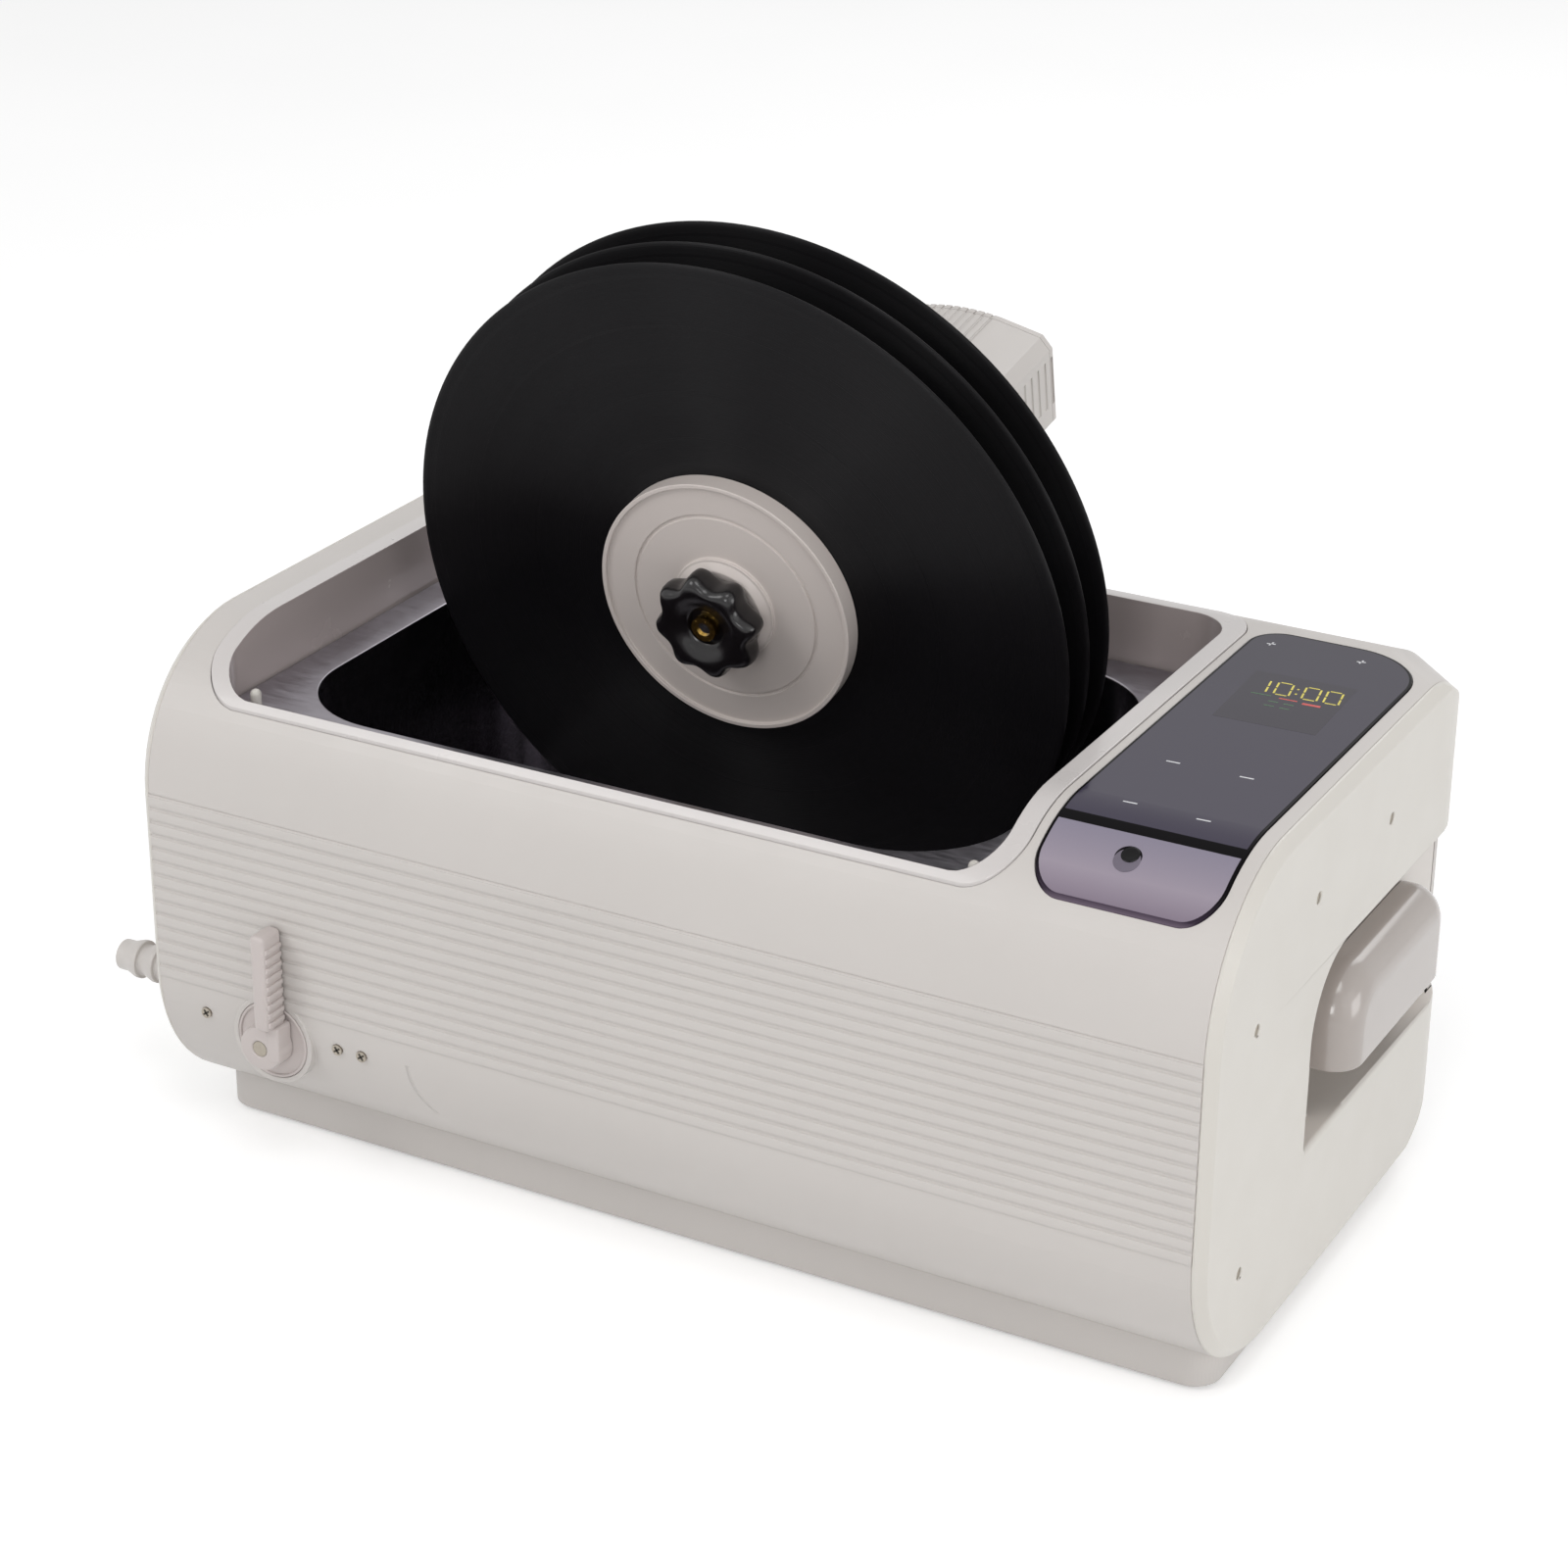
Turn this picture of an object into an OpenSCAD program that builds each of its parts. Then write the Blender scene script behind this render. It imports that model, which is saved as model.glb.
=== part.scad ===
/* [Body] */
// Length over both end caps
body_length = 480; // [476:1:486]
// Depth from the front face to the rear face
body_depth = 278; // [276:1:282]
// Height of the flat top above the table
body_height = 227; // [225:1:231]
// Height of the shell's underside above the table
underside_height = 11; // [10:0.5:12]
// Radius of the long top front edge
front_top_radius = 66; // [62:1:68]
// Radius of the long bottom front edge
front_bottom_radius = 67; // [63:1:69]
// Radius of the long top rear edge
rear_top_radius = 28; // [26:1:30]
// Radius of the long bottom rear edge
rear_bottom_radius = 36; // [34:1:38]
// Radius of the upright rear corners
rear_corner_radius = 38; // [36:1:39]
// Wall of the moulded shell
shell_wall = 2.5; // [2.2:0.1:2.8]
// Visible rim of each end cap, along the length
cap_rim = 5; // [4.5:0.5:6]
// Width of the bevel around each end cap
cap_bevel = 4; // [3:0.5:4]
// Wall of the end caps
cap_wall = 3; // [2.6:0.1:3.2]
// Gap between mouldings that fit into each other
fit_gap = 0.3; // [0.2:0.05:0.4]

/* [Front ribs] */
// Number of raised ribs along the front
rib_count = 14; // [10:1:14]
// Distance of the lowest rib above the start of the flat front
rib_start_inset = 3; // [2.5:0.1:4]
// Distance of the highest rib below the end of the flat front
rib_end_inset = 1.35; // [1:0.05:2]
// Share of the pitch that one rib fills
rib_share = 0.73; // [0.66:0.01:0.8]
// Height of the thin groove above the end of the flat front
rib_line_rise = 1.7; // [1.2:0.1:2.5]
// How far a rib stands proud of the face
rib_proud = 0.6; // [0.4:0.1:0.8]

/* [Base] */
// Inset of the base from the front face of the body
base_front_inset = 35; // [34:1:37]
// Inset of the base from the rear face of the body
base_rear_inset = 29; // [28:1:32]
// Inset of the base from each end
base_end_inset = 8; // [7:1:9]
// Radius of the base's upright corners
base_corner_radius = 12; // [10:1:14]
// Wall of the base tray
base_wall = 2.5; // [2:0.1:3]
// How far the feet stand below the base
foot_proud = 1.5; // [1:0.1:1.8]
// Radius of a foot
foot_radius = 9; // [8:0.5:10]
// Radius of the pad moulded under the middle of the base, level with the feet
middle_pad_radius = 14; // [10:1:18]

/* [Well and tank] */
// Length of the opening in the top
opening_length = 352.6; // [350:0.2:353]
// Depth of the opening, front to rear
opening_depth = 232; // [230:1:233]
// Middle of the opening along the length
opening_x = -36; // [-37:0.5:-35]
// Middle of the opening, front to rear
opening_y = -5.6; // [-6:0.1:-5.2]
// Corner radius of the opening
opening_radius = 18; // [16:1:20]
// Width of the lip along the sides and the rear of the opening
lip_width = 8.5; // [8:0.1:9]
// Width of the lip along the front of the opening
lip_front = 2.6; // [2.2:0.1:3.2]
// How far the lip stands proud of the shell
lip_proud = 0.6; // [0.4:0.1:0.8]
// Wall of the well liner
liner_wall = 2.5; // [2.2:0.1:2.8]
// Depth of the ledge that carries the tank, below the flat top
ledge_drop = 31; // [30:0.5:32]
// Thickness of the seal under the tank flange
seal_thickness = 2; // [1.5:0.1:2.4]
// Sheet thickness of the tank
tank_sheet = 1.2; // [1:0.1:1.4]
// Width of the tank flange at the two ends
flange_width = 17.5; // [17:0.5:18]
// Width of the tank flange along the front and the rear
flange_depth = 15; // [14.5:0.5:16]
// Corner radius of the tank
tank_corner_radius = 45; // [40:1:48]
// Depth of the tank below its flange
tank_depth = 123; // [121:1:124]
// Height of the lid posts above the flange
post_height = 7; // [6:0.5:8]
// Radius of a lid post
post_radius = 2.3; // [2:0.1:2.6]

/* [Control panel] */
// Width of the glass panel
panel_width = 75; // [73:0.5:76]
// Front edge of the panel, from the front face
panel_front_inset = 17.5; // [17:0.5:19]
// Distance from the panel to the end of the body
panel_end_inset = 11.7; // [11.5:0.1:12.5]
// Rear edge of the panel, from the rear face
panel_rear_inset = 31.5; // [30:0.5:33]
// Small corner radius of the panel
panel_radius = 14; // [12:1:16]
// Large corner radius, at the outer rear corner
panel_big_radius = 32; // [28:1:34]
// Thickness of the glass panel
glass_thickness = 2; // [1.8:0.1:2.2]
// How far the glass stands proud of the shell
glass_proud = 0.5; // [0.3:0.1:0.6]
// Width of the ledge under the glass
glass_ledge = 5; // [4:0.5:6]
// Radius of the black sensor in the front window
sensor_radius = 4; // [3.5:0.1:4.5]
// Distance of the sensor from the panel's left edge
sensor_place = 34; // [30:1:38]
// Slope of the sensor, down from straight up
sensor_angle = 28; // [26:1:30]

/* [Handles] */
// Bottom of the handle recess
recess_bottom = 77.5; // [76:0.5:79]
// Top of the handle recess
recess_top = 157; // [156:0.5:159]
// Front end of the handle recess
recess_front = -40; // [-42:1:-38]
// Radius of the recess's upper front corner
recess_radius = 34; // [30:1:36]
// Depth of the handle recess
recess_depth = 10; // [9:0.5:10.5]
// Front end of the grip
grip_front = -16; // [-18:1:-14]
// Rear end of the grip
grip_rear = 93; // [91:1:95]
// Underside of the grip
grip_bottom = 101; // [100:0.5:103]
// Top of the grip
grip_top = 142; // [140:0.5:144]
// How far the grip stands out beyond the end cap
grip_proud = 8.5; // [7:0.5:9]
// Radius of the grip's rounded edges
grip_radius = 14; // [12:1:15]
// Radius of the grip's upper front corner
grip_corner = 24; // [20:1:26]
// Wall of the hollow grip
grip_wall = 4; // [3.5:0.1:4.5]
// Depth of the finger pocket behind the grip
pocket_depth = 18; // [16:1:20]

/* [Records and clamp] */
// Diameter of a long-playing record
record_diameter = 301.6; // [300:0.1:302]
// Thickness of a record
record_thickness = 1.8; // [1.4:0.1:2.2]
// Diameter of a record's centre hole
record_hole = 7.24; // [7.2:0.01:7.3]
// Distance from one record to the next
record_pitch = 19; // [18.6:0.1:19.4]
// Diameter of the label discs
disc_diameter = 115; // [112:1:118]
// Diameter of the ring groove on a label disc
disc_ring_diameter = 84; // [80:1:88]
// Diameter of the raised hub on the front disc
disc_hub_diameter = 46; // [44:1:50]
// Diameter of the clamp knob over its lobes
knob_diameter = 48; // [46:1:50]
// Thickness of the clamp knob
knob_thickness = 16; // [14:1:17]
// Number of lobes on the knob
knob_lobes = 8; // [6:1:8]

/* [Drive head] */
// Slope of the spindle, front end down
spindle_slope = 11.3; // [10:0.1:12]
// Height of the front record's centre above the flat top
axis_rise = 14.2; // [13:0.2:17]
// Distance of the front record's centre behind the body's middle
axis_y = 0; // [-2:0.5:2]
// Width of the drive housing
housing_width = 88; // [86:1:90]
// How far the housing reaches in front of the tilt hinge
housing_ahead = 30; // [29:0.5:32]
// How far the housing reaches behind the tilt hinge
housing_behind = 61; // [60:0.5:63]
// Underside of the housing, below the spindle
housing_drop = 22.6; // [22:0.1:23.4]
// Top of the housing at its sides, above the spindle
housing_shoulder = 17.4; // [17:0.1:18]
// Top of the housing in the middle, above the spindle
housing_crown = 26; // [25:0.5:27]
// Half width of the crown
crown_half = 21; // [19:1:23]
// Wall of the drive housing
housing_wall = 2.5; // [2.2:0.1:2.8]
// Distance of the tilt hinge behind the rear face
hinge_gap = 19.25; // [19:0.25:20]
// Distance of the tilt hinge below the spindle
hinge_drop = 32; // [31.5:0.1:32.5]
// Radius of the hinge barrel and of the bracket ears
hinge_radius = 8.5; // [8:0.1:8.8]
// Radius of the hinge pin
pin_radius = 4; // [3.5:0.1:4.5]
// Half width of the hinge barrel
barrel_half = 20; // [18:1:21]

/* [Drain] */
// Distance of the valve axis from the middle of the body
valve_x = -178; // [-180:0.5:-176]
// Height of the tank's underside above the valve axis
valve_drop = 12; // [11.6:0.1:12.5]
// Distance of the drain pipe behind the front face
pipe_inset = 32; // [31.5:0.1:33]
// Radius of the valve's round boss
boss_radius = 19.7; // [19:0.1:20]
// Radius of the escutcheon
escutcheon_radius = 17.3; // [17:0.1:17.6]
// Length of the lever above its axis
lever_length = 55; // [52:1:58]
// Width of the lever blade
lever_width = 7.2; // [6.8:0.1:7.6]
// Depth of the lever blade
lever_depth = 13; // [12:0.5:13]
// How far the lever stands out from the front face
lever_proud = 14.5; // [14:0.5:16]
// Sideways offset of the blade from the lever's axis
lever_offset = 4.5; // [4:0.5:5]
// Length of the hose barb beyond the end cap
barb_length = 40; // [38:1:42]
// Radius over the hose barb's ridges
barb_radius = 8.5; // [8:0.1:9]
// Bore radius of the drain pipe
pipe_bore = 4.5; // [4:0.1:5]

/* [Hidden] */
$fn = 64;
eps = 1;
shaft_gap = 0.05;
move_gap = 0.4;
front_y = -body_depth / 2;
rear_y = body_depth / 2;
end_x = body_length / 2;
shell_end = end_x - cap_rim;
opening_x0 = opening_x - opening_length / 2;
opening_x1 = opening_x + opening_length / 2;
opening_y0 = opening_y - opening_depth / 2;
opening_y1 = opening_y + opening_depth / 2;
flat_start = underside_height + front_bottom_radius;
flat_end = body_height - front_top_radius;
rib_start = flat_start + rib_start_inset;
rib_pitch = (flat_end - rib_end_inset - rib_start) / (rib_count - 1);
rib_width = rib_pitch * rib_share;
rib_top_line = flat_end + rib_line_rise;
corner_angle = 45;
ledge_height = body_height - ledge_drop;
axis_height = body_height + axis_rise;
flange_bottom = ledge_height + seal_thickness;
flange_top = flange_bottom + tank_sheet;
tank_floor = flange_top - tank_depth;
tank_under = tank_floor - tank_sheet;
valve_z = tank_under - valve_drop;
ledge_width = 12;
seal_width = 9;
seal_inset = 0.5;
flange_inset = 1.5;
lip_flange = 3;
lip_depth = shell_wall + 1.6;
panel_x1 = end_x - panel_end_inset;
panel_x0 = panel_x1 - panel_width;
panel_y1 = rear_y - panel_rear_inset;
panel_y0 = front_y + panel_front_inset;
base_x = end_x - base_end_inset;
base_y0 = front_y + base_front_inset;
base_y1 = rear_y - base_rear_inset;
base_floor = foot_proud + base_wall;
base_ledge = 12;
foot_inset = 26;
foot_sunk = 1.2;
plate_thickness = 2;
plate_x = shell_end - 17;
disc_thickness = (record_pitch - record_thickness) / 2;
disc_lip = 1.6;
stack_rear = 2 * record_pitch + record_thickness / 2 + disc_thickness;
stack_front = -record_thickness / 2 - disc_thickness;
hub_rise = 2.6;
spindle_front_radius = record_hole / 2 - shaft_gap;
thread_radius = 3;
spindle_radius = 6;
knob_start = stack_front - hub_rise - 0.4;
knob_end = knob_start - knob_thickness;
pivot_y = rear_y + hinge_gap;
hinge_back = (pivot_y - axis_y - hinge_drop * sin(spindle_slope)) / cos(spindle_slope);
housing_front = hinge_back - housing_ahead;
housing_rear = hinge_back + housing_behind;
pivot_z = axis_height + hinge_back * sin(spindle_slope) - hinge_drop * cos(spindle_slope);
pipe_y = front_y + pipe_inset;
pipe_outer = pipe_bore + 2.3;
grip_face = end_x + grip_proud;
recess_floor = end_x - recess_depth;
screw_radius = 1.5;
screw_head = 2.4;
upper_screw_places = [[34.7, body_height - 36.4], [-43, body_height - 37.6],
    [front_y + 39.3, body_height - 67.3]];
right_screw_places = concat(upper_screw_places, [[front_y + 37.3, underside_height + 45.6]]);
left_screw_places = concat(upper_screw_places, [[front_y + 55, underside_height + 29]]);
front_screw_places = [[-34.5, 3.3], [32, 3.3], [44, 3.3]];
transducer_pitch = 95;
drain_x = valve_x + 38;
drain_y = -80;

// Rectangle with its own radius at each corner: low left, low right, high right, high left
module corner_rectangle(x0, y0, x1, y1, radii) {
    centres = [[x0, y0], [x1, y0], [x1, y1], [x0, y1]];
    ways = [[1, 1], [-1, 1], [-1, -1], [1, -1]];
    difference() {
        translate([x0, y0]) square([x1 - x0, y1 - y0]);
        for (i = [0:3]) {
            if (radii[i] > 0) {
                r = radii[i];
                translate(centres[i] + ways[i] * (r - eps) / 2) square([r + eps, r + eps], center = true);
            }
        }
    }
    for (i = [0:3]) {
        if (radii[i] > 0) {
            translate(centres[i] + ways[i] * radii[i]) circle(radii[i]);
        }
    }
}

// End profile of the body, drawn as front to rear by height
module body_profile(inset) {
    radii = [front_bottom_radius, rear_bottom_radius, rear_top_radius, front_top_radius];
    corner_rectangle(front_y + inset, underside_height + inset, rear_y - inset, body_height - inset,
        [for (r = radii) r - inset]);
}

// Outline of the body seen from above, with its own inset at the two ends
module body_plan(inset, end_inset) {
    r = rear_corner_radius - inset;
    corner_rectangle(-end_x + end_inset, front_y + inset, end_x - end_inset, rear_y - inset, [0, 0, r, r]);
}

// Rounds off the tips of the right rear corner; the left one is its mirror image
module corner_round(inset) {
    r = rear_corner_radius;
    reach = (end_x - r) * cos(corner_angle) + (rear_y - r) * sin(corner_angle) + r - inset;
    rotate([0, 0, corner_angle]) rotate([90, 0, 0]) translate([0, 0, -body_length])
        linear_extrude(2 * body_length)
            corner_rectangle(-body_length, underside_height + inset, reach, body_height - inset,
                [0, rear_bottom_radius - inset, rear_top_radius - inset, 0]);
}

// Stands a drawing of front to rear by height between two places along the length
module along_length(x0, x1) {
    translate([x0, 0, 0]) rotate([90, 0, 90]) linear_extrude(x1 - x0) children();
}

// The body's outer form between two places along the length, shrunk by an inset, and by its own at the ends
module end_form(inset, x0, x1, end_inset) {
    intersection() {
        along_length(x0, x1) body_profile(inset);
        linear_extrude(body_height + 20) body_plan(inset, end_inset);
        corner_round(inset);
        mirror([1, 0, 0]) corner_round(inset);
    }
}

// The same with one inset all round
module body_form(inset, x0, x1) {
    end_form(inset, x0, x1, inset);
}

// Thin slice of an end cap's bevel, at a share of its width
module bevel_slice(share) {
    x = end_x - cap_bevel * (1 - share);
    intersection() {
        end_form(0, x - 0.1, x, 0);
        along_length(x - 0.1, x) body_profile(cap_bevel * share);
    }
}

// Outline of the opening, grown by a margin
module opening_plan(margin) {
    r = opening_radius + margin;
    corner_rectangle(opening_x0 - margin, opening_y0 - margin, opening_x1 + margin, opening_y1 + margin,
        [r, r, r, r]);
}

// Outer outline of the lip, grown by a margin
module lip_plan(margin) {
    side = lip_width + margin;
    front = lip_front + margin;
    r = opening_radius + front;
    corner_rectangle(opening_x0 - side, opening_y0 - front, opening_x1 + side, opening_y1 + side,
        [r, r, r, r]);
}

// Inside outline of the tank, grown by a margin
module tank_plan(margin) {
    r = tank_corner_radius + margin;
    mx = flange_inset + flange_width - margin;
    my = flange_inset + flange_depth - margin;
    corner_rectangle(opening_x0 + mx, opening_y0 + my, opening_x1 - mx, opening_y1 - my, [r, r, r, r]);
}

// Outline of the glass panel, shrunk by an inset
module panel_plan(inset) {
    r = panel_radius - inset;
    corner_rectangle(panel_x0 + inset, panel_y0 + inset, panel_x1 - inset, panel_y1 - inset,
        [r, r, panel_big_radius - inset, r]);
}

// Outline of the base seen from above
module base_plan(inset) {
    r = base_corner_radius - inset;
    corner_rectangle(-base_x + inset, base_y0 + inset, base_x - inset, base_y1 - inset, [r, r, r, r]);
}

// Column from a flat drawing between two heights
module column(z0, z1) {
    translate([0, 0, z0]) linear_extrude(z1 - z0) children();
}

// Cylinder along the length, from one place to another
module rod_x(x0, x1, y, z, r) {
    translate([x0, y, z]) rotate([0, 90, 0]) cylinder(h = x1 - x0, r = r);
}

// Cylinder from front to rear
module rod_y(x, y0, y1, z, r) {
    translate([x, y0, z]) rotate([-90, 0, 0]) cylinder(h = y1 - y0, r = r);
}

// Block between two corners
module block(a, b) {
    translate(a) cube(b - a);
}

// Places its children in the frame of the sloping spindle
module on_spindle() {
    translate([opening_x, axis_y, axis_height]) rotate([spindle_slope, 0, 0]) children();
}

// Places its children at the sensor, square to the curved front of the glass
module at_sensor() {
    arc_y = front_y + front_top_radius;
    arc_z = body_height - front_top_radius;
    translate([panel_x0 + sensor_place, arc_y, arc_z]) rotate([sensor_angle, 0, 0])
        translate([0, 0, front_top_radius]) children();
}

module valve_openings() {
    rod_y(valve_x, front_y - 10, front_y + 20, valve_z, 6);
    for (p = front_screw_places) {
        rod_y(valve_x + p[0], front_y - 10, front_y + 20, valve_z + p[1], screw_radius + shaft_gap);
        rod_y(valve_x + p[0], front_y - 10, front_y + 1.2, valve_z + p[1], screw_head + 0.1);
    }
}

module main_shell() color([0.80, 0.78, 0.75]) {
    difference() {
        union() {
            difference() {
                body_form(0, -shell_end, shell_end);
                body_form(shell_wall, -shell_end - eps, shell_end + eps);
            }
            for (i = [0:rib_count - 1]) {
                block([-shell_end, front_y - rib_proud, rib_start + i * rib_pitch - rib_width / 2],
                    [shell_end, front_y + shell_wall / 2, rib_start + i * rib_pitch + rib_width / 2]);
            }
            difference() {
                rod_y(valve_x, front_y - rib_proud, front_y + 14, valve_z, boss_radius);
                body_form(shell_wall, -shell_end, shell_end);
            }
        }
        block([-shell_end - eps, front_y - 1, rib_top_line - 0.3],
            [shell_end + eps, front_y + 0.5, rib_top_line + 0.3]);
        column(underside_height + 60, body_height + 20) lip_plan(fit_gap);
        rod_y(valve_x, front_y - 5, front_y + 1.1, valve_z, escutcheon_radius + 0.1);
        valve_openings();
        difference() {
            column(underside_height + 60, body_height + 20) panel_plan(-fit_gap);
            body_form(glass_thickness - glass_proud + 0.1, -end_x, end_x);
        }
        column(underside_height + 60, body_height + 20) panel_plan(glass_ledge);
        block([-base_x + base_ledge, base_y0 + base_ledge, 0],
            [base_x - base_ledge, base_y1 - base_ledge, underside_height + shell_wall + eps]);
        for (side = [0, 1]) {
            mirror([side, 0, 0]) along_length(recess_floor, end_x + 5) recess_profile(0);
        }
        for (i = [-3:3]) {
            block([fan_x + i * vent_pitch - vent_pitch / 4, rear_y - 10, fan_z - 20],
                [fan_x + i * vent_pitch + vent_pitch / 4, rear_y + 5, fan_z + 20]);
        }
        inlet_block(shaft_gap, -10, 5);
        for (p = bracket_screw_places) {
            rod_y(opening_x + p[0], rear_y - 10, rear_y + 5, p[1], screw_radius + 0.5 + shaft_gap);
        }
    }
}

// Outline of the handle recess, grown by a margin, open at the rear
module recess_profile(margin) {
    corner_rectangle(recess_front - margin, recess_bottom - margin, rear_y + 10, recess_top + margin,
        [3 + margin, 0, 0, recess_radius + margin]);
}

// Right end cap, with its screws at the given places; the left one is mirrored
module end_cap(places) {
    rim_inset = shell_wall + fit_gap;
    difference() {
        union() {
            difference() {
                union() {
                    end_form(0, shell_end, end_x - cap_bevel, 0);
                    hull() for (share = [0, 0.5, 0.85, 1]) bevel_slice(share);
                    body_form(rim_inset, shell_end - 8, shell_end);
                }
                body_form(rim_inset + cap_wall, shell_end - 9, shell_end);
                end_form(rim_inset + cap_wall, shell_end - 1.5, end_x - cap_wall, cap_wall);
            }
            intersection() {
                union() {
                    body_form(rim_inset + 0.5, shell_end - 8, shell_end + 1);
                    end_form(rim_inset + 0.5, shell_end, end_x - 1, 1);
                }
                along_length(recess_floor - cap_wall, end_x) recess_profile(cap_wall);
            }
            block([recess_floor - cap_wall - pocket_depth, grip_front + 2, recess_bottom - cap_wall],
                [recess_floor, grip_rear - 2, grip_top - 6]);
            for (p = places) {
                rod_x(plate_x + plate_thickness, end_x - 1, p[0], p[1], 5);
            }
        }
        along_length(recess_floor, end_x + 5) recess_profile(0);
        block([recess_floor - pocket_depth, grip_front + 2 + cap_wall, recess_bottom],
            [recess_floor + eps, grip_rear - 2 - cap_wall, grip_top - 6 - cap_wall]);
        for (p = places) {
            rod_x(plate_x - 1, end_x + 1, p[0], p[1], screw_radius + shaft_gap);
            rod_x(end_x - 2.6, end_x + 1, p[0], p[1], screw_head + 0.1);
        }
    }
}

module right_end_cap() color([0.88, 0.87, 0.84]) end_cap(right_screw_places);

module left_end_cap() color([0.88, 0.87, 0.84]) difference() {
    mirror([1, 0, 0]) end_cap(left_screw_places);
    rod_x(-end_x - 5, -shell_end + 20, pipe_y, valve_z, pipe_outer + fit_gap);
}

module base_tray() color([0.76, 0.75, 0.72]) {
    difference() {
        union() {
            difference() {
                column(foot_proud, underside_height + 16) base_plan(0);
                body_form(0, -end_x - eps, end_x + eps);
                column(base_floor, underside_height + 17) base_plan(base_wall);
            }
            cylinder(h = foot_proud + eps, r = middle_pad_radius);
            for (x = [board_x0 + 5, board_x1 - 5], y = [board_y0 + 5, board_y1 - 5]) {
                translate([x, y, base_floor - eps]) cylinder(h = board_z - base_floor + eps, r = 4);
            }
        }
        for (x = [-1, 1], y = [base_y0 + foot_inset, base_y1 - foot_inset]) {
            translate([x * (base_x - foot_inset), y, foot_proud - eps])
                cylinder(h = foot_sunk + eps, r = foot_radius + shaft_gap);
        }
    }
}

module rubber_feet() color([0.12, 0.12, 0.12]) {
    for (x = [-1, 1], y = [base_y0 + foot_inset, base_y1 - foot_inset]) {
        translate([x * (base_x - foot_inset), y, 0]) cylinder(h = foot_proud + foot_sunk, r = foot_radius);
    }
}

// Right steel end plate, with its screw holes at the given places; the left one is mirrored
module end_plate(places) {
    difference() {
        body_form(shell_wall + fit_gap, plate_x, plate_x + plate_thickness);
        block([plate_x - 1, grip_front - 1, recess_bottom - cap_wall - 1],
            [plate_x + plate_thickness + 1, grip_rear + 1, grip_top]);
        for (p = places) {
            rod_x(plate_x - 1, plate_x + plate_thickness + 1, p[0], p[1], screw_radius + shaft_gap);
        }
    }
}

module right_end_plate() color([0.62, 0.63, 0.65]) end_plate(right_screw_places);

module left_end_plate() color([0.62, 0.63, 0.65]) difference() {
    mirror([1, 0, 0]) end_plate(left_screw_places);
    difference() {
        column(ledge_height - 10, body_height + 20) lip_plan(lip_flange + fit_gap);
        body_form(lip_depth + fit_gap, -end_x, end_x);
    }
    rod_x(-plate_x - plate_thickness - 1, -plate_x + 1, pipe_y, valve_z, pipe_outer + fit_gap);
}

module well_liner() color([0.74, 0.72, 0.71]) {
    difference() {
        union() {
            difference() {
                intersection() {
                    column(ledge_height - 4, body_height + 20) lip_plan(0);
                    body_form(-lip_proud, opening_x0 - 20, opening_x1 + 20);
                }
                body_form(lip_depth, -shell_end, shell_end);
            }
            intersection() {
                difference() {
                    column(ledge_height - 4, body_height + 20) lip_plan(lip_flange);
                    body_form(lip_depth, -shell_end, shell_end);
                }
                body_form(shell_wall + 0.1, -shell_end, shell_end);
            }
            intersection() {
                column(ledge_height - 3, body_height + 20) opening_plan(liner_wall);
                body_form(-lip_proud, opening_x0 - 20, opening_x1 + 20);
            }
        }
        column(ledge_height, body_height + 30) opening_plan(0);
        column(ledge_height - 10, body_height + 30) opening_plan(-ledge_width);
    }
}

module tank_seal() color([0.82, 0.82, 0.80]) {
    difference() {
        column(ledge_height, flange_bottom) opening_plan(-seal_inset);
        column(ledge_height - eps, flange_bottom + eps) opening_plan(-seal_inset - seal_width);
    }
}

module tank() color([0.70, 0.71, 0.72]) {
    difference() {
        union() {
            column(flange_bottom, flange_top) opening_plan(-flange_inset);
            column(tank_under, flange_top) tank_plan(tank_sheet);
        }
        column(tank_floor, flange_top + eps) tank_plan(0);
        translate([drain_x, drain_y, tank_under - eps]) cylinder(h = tank_sheet + 2 * eps, r = pipe_bore);
    }
}

module lid_posts() color([0.86, 0.85, 0.83]) {
    inset = 12.5;
    for (x = [opening_x0 + inset, opening_x1 - inset], y = [opening_y0 + inset, opening_y1 - inset]) {
        translate([x, y, flange_top]) cylinder(h = post_height - post_radius, r = post_radius);
        translate([x, y, flange_top + post_height - post_radius]) sphere(post_radius);
    }
}

module panel_glass() color([0.34, 0.34, 0.38]) {
    difference() {
        intersection() {
            difference() {
                along_length(panel_x0 - 1, panel_x1 + 1) body_profile(-glass_proud);
                along_length(panel_x0 - 2, panel_x1 + 2) body_profile(glass_thickness - glass_proud);
            }
            column(underside_height + 60, body_height + 20) panel_plan(0);
        }
        at_sensor() translate([0, 0, -10]) cylinder(h = 20, r = sensor_radius + shaft_gap);
    }
}

tray_wall = 1.6;
tray_x0 = panel_x0 + glass_ledge - 2;
tray_x1 = plate_x - 1;
tray_y0 = front_y + front_top_radius + 2;
tray_y1 = panel_y1 - glass_ledge - 3;
tray_top = body_height - shell_wall;
tray_floor = tray_top - 16;
pcb = 1.6;
chip_side = 14;
chip_x = 12;
chip_y = 20;
chip_height = 2.5;
relay_length = 20;
relay_width = 12;
relay_x = 34;
relay_y = 60;
relay_height = 3.5;
display_x = 12;
display_rear = 24;
display_width = 48;
display_depth = 46;
tray_gap = 1.5;
sunk = 0.5;

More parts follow.
